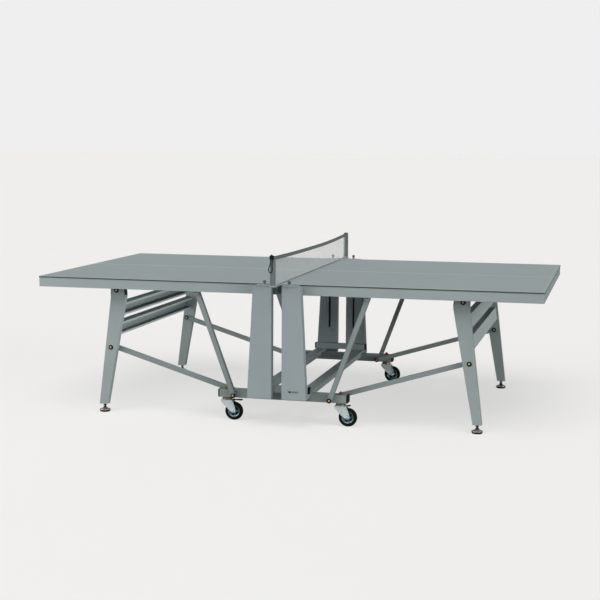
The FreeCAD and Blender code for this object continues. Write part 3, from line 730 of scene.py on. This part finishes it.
# ---- levelling feet ------------------------------------------------------
FOOT_PAD = (
    (0.0, 0.0), (0.0250, 0.0), (0.0272, 0.0014), (0.0285, 0.0060),
    (0.0296, 0.0088), (0.0285, 0.0100), (0.0, 0.0100),
)
FOOT_DOME = (
    (0.0, 0.0098), (0.0292, 0.0098), (0.0298, 0.0118), (0.0292, 0.0134),
    (0.0262, 0.0150), (0.0205, 0.0170), (0.0150, 0.0196), (0.0108, 0.0216),
    (0.0090, 0.0222), (0.0, 0.0222),
)
THREAD_START = 0.0290
THREAD_END = 0.0900
THREAD_PITCH = 0.0015


def feet():
    """Turned foot: black base, bright dome, hex and threaded stem."""
    for tag in CORNERS:
        node = "foot_" + tag
        low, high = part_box(node)
        c = axis_of(low, high)
        base = lathe(node + "_pad", FOOT_PAD, c, "z", BLACK, 64)
        dome = lathe(node + "_dome", FOOT_DOME, c, "z", STEEL, 64)
        piece = join_parts(node + "_visual", [base, dome, foot_stem(node, c)])
        attach(piece, node, node)


def foot_stem(node, c):
    """Two hexes and a threaded stem on one axis."""
    bm = bmesh.new()
    hex_into(bm, (c.x, c.y), 0.0175, 0.0218, 0.0285)
    hex_into(bm, (c.x, c.y), 0.0160, 0.0340, 0.0400)
    rows = [(0.0, 0.0275), (0.0048, 0.0275)]
    z = THREAD_START
    while z < THREAD_END:
        rows += [(0.0050, z), (0.0044, z + THREAD_PITCH / 2)]
        z += THREAD_PITCH
    rows += [(0.0040, 0.0915), (0.0, 0.0920)]
    lathe_into(bm, rows, Vector((c.x, c.y, 0.0)), "z", 24)
    return add_object(node + "_stem", bm, STEM)


# ---- casters -------------------------------------------------------------
def tyre_profile():
    """Cross-section of the tyre: bead, side wall, shoulder, crown."""
    half = 0.0130
    rows = [(0.0332, -half + 0.0030), (0.0338, -half + 0.0016), (0.0370, -half + 0.0004),
            (0.0400, -half), (0.0404, -half + 0.0006), (0.0410, -half), (0.0445, -half + 0.0006),
            (0.0468, -half + 0.0022), (0.0484, -half + 0.0046), (0.0494, -half + 0.0075)]
    rows += [(0.0499, -0.0030), (0.0500, -0.0008)]
    mirrored = [(r, -y) for r, y in reversed(rows)]
    return rows + mirrored + [(0.0328, half - 0.0032), (0.0328, -half + 0.0032), rows[0]]


def hub_disc(name, c, side):
    """Dished disc with five openings round its boss."""
    bm = bmesh.new()
    radii = (0.0105, 0.0135, 0.0160, 0.0250, 0.0280, 0.0310, 0.0336)
    depth = (0.0125, 0.0110, 0.0066, 0.0050, 0.0062, 0.0090, 0.0098)
    steps = 80
    rings = []
    for r, d in zip(radii, depth):
        ring = [axis_point("y", c, r, 2 * math.pi * i / steps, side * d) for i in range(steps)]
        rings.append([bm.verts.new(point) for point in ring])
    for k in range(len(radii) - 1):
        for i in range(steps):
            open_here = k == 2 and 3 <= i % 16 <= 12
            if not open_here:
                j = (i + 1) % steps
                bm.faces.new((rings[k][i], rings[k + 1][i], rings[k + 1][j], rings[k][j]))
    disc = add_object(name, bm, HUB)
    thicken(disc, 0.0012, -1.0 if side > 0 else 1.0)
    return disc


BOSS_ROWS = (
    (0.0041, -0.0164), (0.0098, -0.0164), (0.0108, -0.0154), (0.0108, 0.0154),
    (0.0098, 0.0164), (0.0041, 0.0164), (0.0041, -0.0164),
)


def ring_rows(inner, outer, half):
    """Square-edged ring from its radii and half its width."""
    return ((inner, -half), (outer, -half), (outer, half), (inner, half), (inner, -half))


def wheels():
    """Tyre, rim discs, boss and bearing cap of every caster."""
    for tag in CORNERS:
        node = "wheel_" + tag
        c = centre(node)
        tyre = lathe(node + "_tyre", tyre_profile(), c, "y", TYRE, 96)
        discs = [hub_disc(node + "_disc" + str(int(s)), c, s) for s in (-1.0, 1.0)]
        boss = lathe(node + "_boss", BOSS_ROWS, c, "y", ZINC, 40)
        core = lathe(node + "_rim", ring_rows(0.0322, 0.0330, 0.0098), c, "y", HUB, 72)
        # Painted shade: a black disc between the rim discs makes their openings dark.
        shade_disc = lathe(node + "_shade_disc", ring_rows(0.0100, 0.0326, 0.0020), c, "y", WASHER, 72)
        piece = join_parts(node + "_visual", [tyre, core, boss, shade_disc] + discs)
        attach(piece, node, node)


def cheek_outline(trail, axle_z, crown_z):
    """Side view of a fork cheek, from crown down to the axle."""
    pts = [(-0.0310, crown_z), (-0.0312, crown_z - 0.0045), (-0.0250, crown_z - 0.0140),
           (-0.0075, crown_z - 0.0325), (0.0110, crown_z - 0.0500), (0.0240, crown_z - 0.0640)]
    for i in range(9):
        a = math.radians(215.0 + i * 17.0)
        pts.append((trail + 0.0118 * math.cos(a), axle_z + 0.0100 * math.sin(a)))
    pts += [(0.0502, axle_z + 0.0080), (0.0470, axle_z + 0.0200), (0.0405, crown_z - 0.0200),
            (0.0340, crown_z - 0.0070), (0.0312, crown_z)]
    return pts


def forks():
    """Swivel race, crown, flanged cheeks and axle nuts of every caster."""
    for tag in CORNERS:
        node = "fork_" + tag
        x, y, _ = JOINTS["caster_swivel_" + tag]["pos_m"]
        at = Vector((x, y, 0.0))
        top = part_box(node)[1][2]
        crown_z = top - 0.0167
        hub = centre("wheel_" + tag)
        outline = cheek_outline(hub.x - x, hub.z, crown_z)
        race = fork_race(node, at, top, crown_z)
        bm = bmesh.new()
        crown = rounded_rect(0.0620, 0.0392, 0.009)
        flat = lambda u, v, d: Vector((x + u, y + v, d))
        extrude_outline(bm, crown, flat, crown_z - 0.0045, crown_z)
        for side in (-1.0, 1.0):
            place = lambda u, v, d: Vector((x + u, y + side * d, v))
            extrude_outline(bm, outline, place, 0.0172, 0.0197)
        body = add_object(node + "_body", bm, FORK)
        soften(body, 0.0009, 3)
        apply_modifier(body, "soften")
        axle = fork_axle(node, hub)
        rim = fork_flanges(node, x, y, outline[1:6])
        back = fork_flanges(node + "_back", x, y, outline[-5:-1])
        piece = join_parts(node + "_visual", [race, body, rim, back] + axle)
        attach(piece, node, node)


def fork_race(node, at, top, low):
    """Swivel race: rolled cup over a ring of balls, above the crown."""
    cup = ((0.0060, 0.0004), (0.0235, 0.0002), (0.0262, 0.0014), (0.0268, 0.0034),
           (0.0262, 0.0052), (0.0240, 0.0062), (0.0232, 0.0072), (0.0244, 0.0082),
           (0.0264, 0.0094), (0.0268, 0.0118), (0.0252, 0.0138))
    rows = [(r, top - d) for r, d in cup]
    rows += [(0.0228, low), (0.0060, low), rows[0]]
    return lathe(node + "_race", rows, at, "z", RACE, 56)


def fork_flanges(node, x, y, line):
    """Folded lips along one edge of both cheeks."""
    bm = bmesh.new()
    for side in (-1.0, 1.0):
        for a, b in zip(line, line[1:]):
            quad = []
            for (u, v), d in ((a, 0.0192), (b, 0.0192), (b, 0.0232), (a, 0.0232)):
                quad.append(bm.verts.new(Vector((x + u, y + side * d, v))))
            bm.faces.new(quad)
    bmesh.ops.remove_doubles(bm, verts=bm.verts, dist=1e-5)
    lip = add_object(node + "_lip", bm, FORK)
    thicken(lip, 0.0016, -1.0)
    return lip


def fork_axle(node, c):
    """Axle with a nut and a washer on each cheek."""
    parts = []
    rows = ((0.0, -0.0238), (0.0034, -0.0238), (0.0040, -0.0230), (0.0040, 0.0230),
            (0.0034, 0.0238), (0.0, 0.0238))
    rod = lathe(node + "_axle", rows, c, "y", ZINC, 24)
    parts.append(rod)
    for side in (-1.0, 1.0):
        ring = washer_profile(0.0035, 0.0082, side * 0.0197, 0.0010, side)
        w = lathe(node + "_aw", ring, c, "y", ZINC, 32)
        rows = ((0.0, side * 0.0205), (0.0072, side * 0.0205), (0.0076, side * 0.0212),
                (0.0076, side * 0.0224), (0.0068, side * 0.0232), (0.0, side * 0.0232))
        n = lathe(node + "_an", rows, c, "y", ZINC, 6)
        parts += [w, n]
    return parts


def pedals():
    """Brake pedal: ribbed tread plate on two arms with its pivot sleeve."""
    for e, sx in ENDS:
        node = "pedal_near_" + e
        low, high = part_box(node)
        px, py, pz = JOINTS["brake_" + e]["pos_m"]
        reach = high[0] - 0.0003
        start = max(px + 0.0062, reach - 0.0280)
        width = reach - start
        mid = (reach + start) / 2
        bm = bmesh.new()
        place = lambda u, v, d: Vector((mid + u, py + v, d))
        extrude_outline(bm, rounded_rect(width, 0.0294, 0.0035), place, low[2] + 0.0020, pz + 0.0021)
        for i in range(4):
            rx = start + 0.0030 + i * (width - 0.0060) / 3
            rib = lambda u, v, d, rx=rx: Vector((rx + u, py + v, d))
            extrude_outline(bm, rounded_rect(0.0016, 0.0240, 0.0007, 2), rib, pz + 0.0019, pz + 0.0029)
        for s in (-1.0, 1.0):
            arm = lambda u, v, d, s=s: Vector(((px + start) / 2 + u, py + s * 0.0085 + v, d))
            shape = rounded_rect(start - px + 0.0040, 0.0040, 0.0012, 2)
            extrude_outline(bm, shape, arm, pz - 0.0013, pz + 0.0018)
        lathe_into(bm, ring_rows(0.00215, 0.0033, 0.0109), Vector((px, py, pz)), "y", 24)
        piece = add_object(node + "_visual", bm, PEDAL)
        soften(piece, 0.0005)
        attach(piece, node, node)


# ---- knobs and small plates ----------------------------------------------
def knobs():
    """Release knob: waisted stem under a softly turned grip."""
    for tag in CORNERS:
        node = "knob_" + tag
        low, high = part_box(node)
        c = axis_of(low, high)
        r = (high[0] - low[0]) / 2
        z0, z1 = low[2], high[2]
        g0 = z1 - 0.0146
        rows = [(0.0, z0), (0.0034, z0), (0.0039, z0 + 0.0006), (0.0039, g0), (r * 0.80, g0),
                (r * 0.94, g0 + 0.0008), (r, g0 + 0.0022), (r, g0 + 0.0052), (r * 0.965, g0 + 0.0060),
                (r, g0 + 0.0068), (r, z1 - 0.0036), (r * 0.97, z1 - 0.0016), (r * 0.86, z1 - 0.0004),
                (r * 0.60, z1), (r * 0.52, z1 - 0.0006), (0.0, z1 - 0.0008)]
        piece = lathe(node + "_visual", rows, c, "z", KNOB_SHADED, 64)
        attach(piece, node, node)


def blank_plate():
    """Small blank identification plate and its round head on the near right post."""
    low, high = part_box("post_near_right")
    y = low[1]
    z = low[2] + 0.044
    x0 = low[0] + 0.048
    bm = bmesh.new()
    place = lambda u, v, d: Vector((x0 + 0.021 + u, y - d, z + v))
    extrude_outline(bm, rounded_rect(0.042, 0.0075, 0.0012, 3), place, -0.0002, 0.0007)
    piece = add_object("blank_plate", bm, brass("plate_tin", (0.50, 0.47, 0.38)))
    soften(piece, 0.0002)
    attach(piece, "base")
    head = ((0.0048, 0.0), (0.0048, -0.0008), (0.0038, -0.0018), (0.0, -0.0022))
    rivet = lathe("blank_plate_rivet", head, Vector((x0 - 0.005, y, z)), "y", BLACK, 24)
    attach(rivet, "base")


# ---- net -----------------------------------------------------------------
NET_LOW, NET_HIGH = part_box("net_tapes")
SLEEVE_R = (NET_HIGH[0] - NET_LOW[0]) / 2
POLE_Y = NET_HIGH[1] - SLEEVE_R
TAPE_TOP = NET_HIGH[2] + 0.0010
TAPE_H = 0.019
# drop of the tape's top line below TAPE_TOP at the near pole, the far pole and its lowest place
NEAR_DROP = 0.0010
FAR_DROP = -0.0019
LOWEST_DROP = 0.0130
LOWEST_Y = 0.20


def sag(y):
    """Drop of the tape's top line, a parabola each way from its lowest place."""
    end, drop = (-POLE_Y, NEAR_DROP) if y < LOWEST_Y else (POLE_Y, FAR_DROP)
    share = min(1.0, (y - LOWEST_Y) / (end - LOWEST_Y))
    return LOWEST_DROP + (drop - LOWEST_DROP) * share ** 2


def band(name, y0, y1, top_of, height, thick, material, steps=180):
    """Soft band along Y with rolled edges."""
    bm = bmesh.new()
    section = rounded_rect(thick, height, thick * 0.45, 3)
    rings = []
    for i in range(steps + 1):
        y = y0 + (y1 - y0) * i / steps
        drift = 0.0004 * math.sin(y * 9.0) + 0.0002 * math.sin(y * 23.0 + 1.3)
        z = top_of(y) - height / 2
        rings.append([bm.verts.new(Vector((u + drift, y, z + v))) for u, v in section])
    n = len(section)
    for a, b in zip(rings, rings[1:]):
        for k in range(n):
            m = (k + 1) % n
            bm.faces.new((a[k], a[m], b[m], b[k]))
    bm.faces.new(rings[0])
    bm.faces.new(rings[-1])
    return add_object(name, bm, material)


def net_tape():
    """Top tape with its darker hems and stitching, and the thin foot cord."""
    y1 = POLE_Y - 0.004
    line = lambda y: TAPE_TOP - sag(y)
    tape = band("tape_main", -y1, y1, line, TAPE_H, 0.0036, TAPE)
    high_hem = lambda y: line(y) + 0.0003
    low_hem = lambda y: line(y) - TAPE_H + 0.0042
    upper = band("tape_hem_a", -y1, y1, high_hem, 0.0045, 0.0044, TAPE_EDGE)
    lower = band("tape_hem_b", -y1, y1, low_hem, 0.0045, 0.0044, TAPE_EDGE)
    foot_line = lambda y: NET_LOW[2] + 0.0040
    foot = band("tape_foot", -y1, y1, foot_line, 0.0034, 0.0026, NETTING)
    stitches = stitch_rows(y1, line)
    piece = join_parts("net_tape_visual", [tape, upper, lower, foot, stitches])
    attach(piece, "net")
    return piece


def stitch_rows(y1, line):
    """Short raised stitches in two rows on both faces of the tape."""
    bm = bmesh.new()
    pitch = 0.0075
    count = int(2 * y1 / pitch)
    for row in (0.0058, TAPE_H - 0.0058):
        for i in range(count):
            y = -y1 + (i + 0.5) * pitch
            z = line(y) - row
            for s in (-1.0, 1.0):
                w = [(-0.0019, 0.0), (0.0, 0.0005), (0.0019, 0.0), (0.0, -0.0005)]
                low = [bm.verts.new(Vector((s * 0.00175, y + u, z + v))) for u, v in w]
                tip = bm.verts.new(Vector((s * 0.00225, y, z)))
                for k in range(4):
                    bm.faces.new((low[k], low[(k + 1) % 4], tip))
    return add_object("tape_stitches", bm, TAPE_EDGE)


def sleeves():
    """Fabric sleeves round the poles, closed by a seam, with poles and caps."""
    parts = []
    pole_parts = []
    low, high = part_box("net_poles")
    for s, sy in SIDES:
        c = Vector((0.0, sy * POLE_Y, 0.0))
        z = NET_LOW[2] + 0.0010
        z_top = TAPE_TOP - sag(sy * POLE_Y) - 0.0015
        rows = [(0.0102, z), (SLEEVE_R - 0.0008, z), (SLEEVE_R - 0.0002, z + 0.0015)]
        n = 16
        for i in range(n + 1):
            t = i / n
            radius = SLEEVE_R - 0.0004 + 0.0002 * math.sin(t * 11.0)
            rows.append((radius, z + 0.004 + (z_top - z - 0.008) * t))
        rows += [(SLEEVE_R - 0.0002, z_top - 0.0015), (SLEEVE_R - 0.0008, z_top), (0.0102, z_top)]
        cloth = lathe("sleeve_" + s, rows, c, "z", SLEEVE, 48)
        for vertex in cloth.data.vertices:
            vertex.co.x = vertex.co.x * 1.22 - 0.0006
        parts.append(cloth)
        parts += seam_strip("seam_" + s, sy, z, z_top)
        pole_rows = ((0.0, low[2]), (0.0092, low[2]), (0.0099, low[2] + 0.0008),
                     (0.0099, z_top), (0.0, z_top))
        pole = lathe("pole_" + s, pole_rows, c, "z", BARS, 40)
        top = z_top + 0.0032
        cap_rows = ((0.0, z_top - 0.004), (0.0104, z_top - 0.0035), (0.0112, z_top - 0.0010),
                    (0.0112, z_top + 0.0008), (0.0098, z_top + 0.0024), (0.0060, top), (0.0, top))
        cap = lathe("cap_" + s, cap_rows, c, "z", BLACK, 40)
        pole_parts += [pole, cap]
    cloth = join_parts("net_sleeves", parts)
    attach(cloth, "net")
    poles = join_parts("net_poles_visual", pole_parts)
    attach(poles, "net", "net_poles")
    return cloth


def seam_strip(name, sy, z0, z1):
    """Selvedge where the netting is sewn to a sleeve, with a loose wavy edge."""
    out = []
    inner = POLE_Y - SLEEVE_R + 0.0015
    layers = (("_a", 0.0100, 0.2, 0.0016, SLEEVE), ("_b", 0.0215, 1.0, 0.0010, TAPE))
    for label, reach, wave, thick, material in layers:
        bm = bmesh.new()
        steps = 60
        rows = []
        for i in range(steps + 1):
            t = i / steps
            z = z0 + (z1 - TAPE_H * 0.6 - z0) * t
            ripple = 0.0034 * math.sin(t * 14.0 + sy) + 0.0018 * math.sin(t * 33.0 + 0.8)
            puff = 0.0016 * math.sin(t * 19.0 + 0.4) * wave
            rows.append((z, inner - reach - ripple * wave, puff))
        a = [bm.verts.new(Vector((0.0, sy * inner, z))) for z, y, u in rows]
        m = [bm.verts.new(Vector((u * 0.5, sy * (inner + y) / 2, z))) for z, y, u in rows]
        b = [bm.verts.new(Vector((u, sy * y, z))) for z, y, u in rows]
        for i in range(steps):
            bm.faces.new((a[i], a[i + 1], m[i + 1], m[i]))
            bm.faces.new((m[i], m[i + 1], b[i + 1], b[i]))
        strip = add_object(name + label, bm, material)
        thicken(strip, thick, 0.0)
        out.append(strip)
    return out


CELL = 0.0120               # pitch of the netting along the net
CELL_ROWS = 11
THREAD = 0.00125


def netting():
    """Knotted mesh of fine threads between tape, foot band and sleeves."""
    bm = bmesh.new()
    y1 = POLE_Y - SLEEVE_R + 0.0010
    z0 = NET_LOW[2] + 0.0026
    columns = int(2 * y1 / CELL)
    step = 2 * y1 / columns
    rows = CELL_ROWS
    grid = []
    random.seed(11)
    for i in range(columns + 1):
        y = -y1 + i * step
        top = TAPE_TOP - sag(y) - TAPE_H + 0.0020
        line = []
        for k in range(rows + 1):
            z = z0 + (top - z0) * k / rows
            inside = 0.0 if k in (0, rows) or i in (0, columns) else 1.0
            dy = inside * random.uniform(-0.0006, 0.0006)
            dz = inside * random.uniform(-0.0006, 0.0006)
            line.append(bm.verts.new(Vector((0.0, y + dy, z + dz))))
        grid.append(line)
    for i in range(columns):
        for k in range(rows):
            bm.faces.new((grid[i][k], grid[i + 1][k], grid[i + 1][k + 1], grid[i][k + 1]))
    piece = add_object("netting", bm, NETTING, smooth=False)
    mod = piece.modifiers.new("threads", "WIREFRAME")
    mod.thickness = THREAD
    mod.use_even_offset = False
    mod.use_boundary = True
    apply_modifier(piece, mod.name)
    attach(piece, "net", "net_mesh")
    return piece


def clamp():
    """Barrel cord clamp with a waisted body and a sprung button."""
    low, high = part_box("cord_lock")
    c = axis_of(low, high)
    w = high[0] - low[0] - 0.0006
    d = high[1] - low[1] - 0.0006
    z0 = low[2]
    z1 = high[2] - 0.005
    bm = bmesh.new()
    levels = ((0.86, 0.0), (0.97, 0.06), (1.0, 0.16), (0.93, 0.34), (0.88, 0.5),
              (0.93, 0.66), (1.0, 0.84), (0.97, 0.94), (0.86, 1.0))
    rings = []
    for k, t in levels:
        outline = rounded_rect(w * k, d * k, 0.0045 * k, 5)
        rings.append([bm.verts.new(Vector((c.x + u, c.y + v, z0 + (z1 - z0) * t))) for u, v in outline])
    n = len(rings[0])
    for a, b in zip(rings, rings[1:]):
        for i in range(n):
            j = (i + 1) % n
            bm.faces.new((a[i], a[j], b[j], b[i]))
    bm.faces.new(rings[0])
    bm.faces.new(rings[-1])
    body = add_object("clamp_body", bm, BLACK)
    top = high[2]
    rows = ((0.0046, z1 - 0.001), (0.0046, top - 0.0014), (0.0038, top - 0.0004),
            (0.0020, top), (0.0, top))
    button = lathe("clamp_button", rows, c, "z", BLACK, 32)
    piece = join_parts("cord_clamp", [body, button])
    attach(piece, "net", "cord_lock")


CORD_ROUTE_MM = (
    (-8.0, -906.8, 900.0),
    (-8.0, -906.8, 886.5),
    (-11.0, -907.3, 872.5),
    (-16.0, -907.8, 858.5),
    (-18.5, -908.2, 845.0),
    (-14.0, -908.4, 833.0),
    (-2.0, -908.4, 833.0),
    (2.5, -908.2, 845.0),
    (2.2, -907.8, 858.5),
    (0.2, -907.3, 872.5),
    (1.5, -906.8, 886.5),
    (1.5, -906.8, 900.0),
)
CORD_RADIUS = 0.0024


def cord():
    """Hanging loop of thin braided cord."""
    data = bpy.data.curves.new("tension_cord", "CURVE")
    data.dimensions = "3D"
    spline = data.splines.new("NURBS")
    spline.points.add(len(CORD_ROUTE_MM) - 1)
    for point, (x, y, z) in zip(spline.points, CORD_ROUTE_MM):
        point.co = (x * MM, y * MM, z * MM, 1.0)
    spline.order_u = 3
    spline.use_endpoint_u = True
    data.resolution_u = 24
    data.bevel_depth = CORD_RADIUS
    data.bevel_resolution = 4
    data.use_fill_caps = True
    data.materials.append(CORD)
    obj = place_object("tension_cord", data)
    attach(obj, "net", "net_cord")


# ---- stage ---------------------------------------------------------------
BACKDROP = 0.863        # the even tone behind and under the object
SURROUND = 0.32
FLOOR_SHADE = (0.30, 0.292, 0.276)
FLOOR_GLOW = 0.572
FLOOR_HALF = 150.0
# name, azimuth, elevation, strength, softness; angles in degrees
SUNS = (
    ("top", 5.0, 60.0, 1.65, 50.0),
    ("right", 66.0, 7.0, 2.2, 34.0),
    ("left", -55.0, 12.0, 1.35, 40.0),
)


# name, place, target, size, watts
PANELS = (
    ("left_panel", (-3.6, -4.4, 1.5), (-0.9, -0.7, 0.5), (1.6, 1.2), 22.0),
    ("under_panel", (-0.30, -0.15, 0.42), (-0.96, 0.0, 0.54), (1.0, 0.10), 2.8),
)
CAMERA_AT = (1.748, -7.236, 1.500)
CAMERA_TURN = (14.18, 7.01, 0.303)      # yaw, pitch down and roll, in degrees
LENS = 77.3
SENSOR = 36.0


def stage():
    """Flat pale floor that reads evenly lit, with a soft shadow."""
    bm = bmesh.new()
    corners = ((-1.0, -1.0), (1.0, -1.0), (1.0, 1.0), (-1.0, 1.0))
    points = [Vector((x * FLOOR_HALF, y * FLOOR_HALF, -0.0005)) for x, y in corners]
    bm.faces.new([bm.verts.new(point) for point in points])
    g = Graph("studio_floor")
    stops = ((0.3, tone(FLOOR_SHADE, 0.99)), (0.7, tone(FLOOR_SHADE, 1.01)))
    shade = g.ramp(g.noise(0.6, 2.0), stops)
    g.set("Base Color", shade)
    g.set("Roughness", 1.0)
    g.set("Specular IOR Level", 0.0)
    ray = g.node("ShaderNodeLightPath")
    g.set("Emission Color", (1.0, 1.0, 1.0))
    g.set("Emission Strength", g.math("MULTIPLY", ray.outputs["Is Camera Ray"], FLOOR_GLOW))
    floor = add_object("studio_floor", bm, g.mat)


def sun(name, azimuth, elevation, strength, softness):
    """Broad soft light from far away; azimuth turns from the front to +X."""
    data = bpy.data.lights.new(name, "SUN")
    data.energy = strength
    data.angle = math.radians(softness)
    obj = place_object(name, data)
    a = math.radians(azimuth)
    e = math.radians(elevation)
    way = Vector((math.sin(a) * math.cos(e), -math.cos(a) * math.cos(e), math.sin(e)))
    obj.location = way * 12.0
    obj.rotation_euler = way.to_track_quat("Z", "Y").to_euler()


def panel(name, at, target, size, power):
    """Soft rectangular light aimed at a point."""
    data = bpy.data.lights.new(name, "AREA")
    data.shape = "RECTANGLE"
    data.size = size[0]
    data.size_y = size[1]
    data.energy = power
    obj = place_object(name, data)
    obj.location = at
    aim = Vector(target) - Vector(at)
    obj.rotation_euler = aim.to_track_quat("-Z", "Y").to_euler()


def lights():
    """Soft studio light: an even surround and broad sources."""
    world = bpy.data.worlds.new("surround")
    bpy.context.scene.world = world
    world.use_nodes = True
    tree = world.node_tree
    ground = tree.nodes["Background"]
    ray = tree.nodes.new("ShaderNodeLightPath")
    level = tree.nodes.new("ShaderNodeMapRange")
    level.inputs["To Min"].default_value = SURROUND
    level.inputs["To Max"].default_value = BACKDROP
    tree.links.new(ray.outputs["Is Camera Ray"], level.inputs["Value"])
    tree.links.new(level.outputs["Result"], ground.inputs["Strength"])
    ground.inputs["Color"].default_value = (1.0, 1.0, 1.0, 1.0)
    for row in SUNS:
        sun(*row)
    for row in PANELS:
        panel(*row)


def camera():
    """Long-lens camera in front of the table, a little to its right."""
    yaw, pitch, roll = (math.radians(angle) for angle in CAMERA_TURN)
    level = math.cos(pitch)
    forward = Vector((-math.sin(yaw) * level, math.cos(yaw) * level, -math.sin(pitch)))
    right = Vector((math.cos(yaw), math.sin(yaw), 0.0))
    up = right.cross(forward)
    turned = right * math.cos(roll) + up * math.sin(roll)
    rising = up * math.cos(roll) - right * math.sin(roll)
    data = bpy.data.cameras.new("camera")
    data.sensor_width = SENSOR
    data.lens = LENS
    data.clip_end = 200.0
    obj = place_object("camera", data)
    m = Matrix((turned, rising, -forward)).transposed().to_4x4()
    m.translation = Vector(CAMERA_AT)
    obj.matrix_world = m
    bpy.context.scene.camera = obj


# ---- assembly ------------------------------------------------------------
def main():
    """Build everything in order."""
    bpy.context.scene.view_settings.view_transform = "Standard"
    paint_nodes()
    base_bolts()
    leg_bolts()
    feet()
    wheels()
    forks()
    pedals()
    knobs()
    blank_plate()
    tape = net_tape()
    cloth = sleeves()
    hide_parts("net_tapes")
    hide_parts("net_tapes")
    mesh = netting()
    clamp()
    cord()
    stage()
    lights()
    camera()


main()
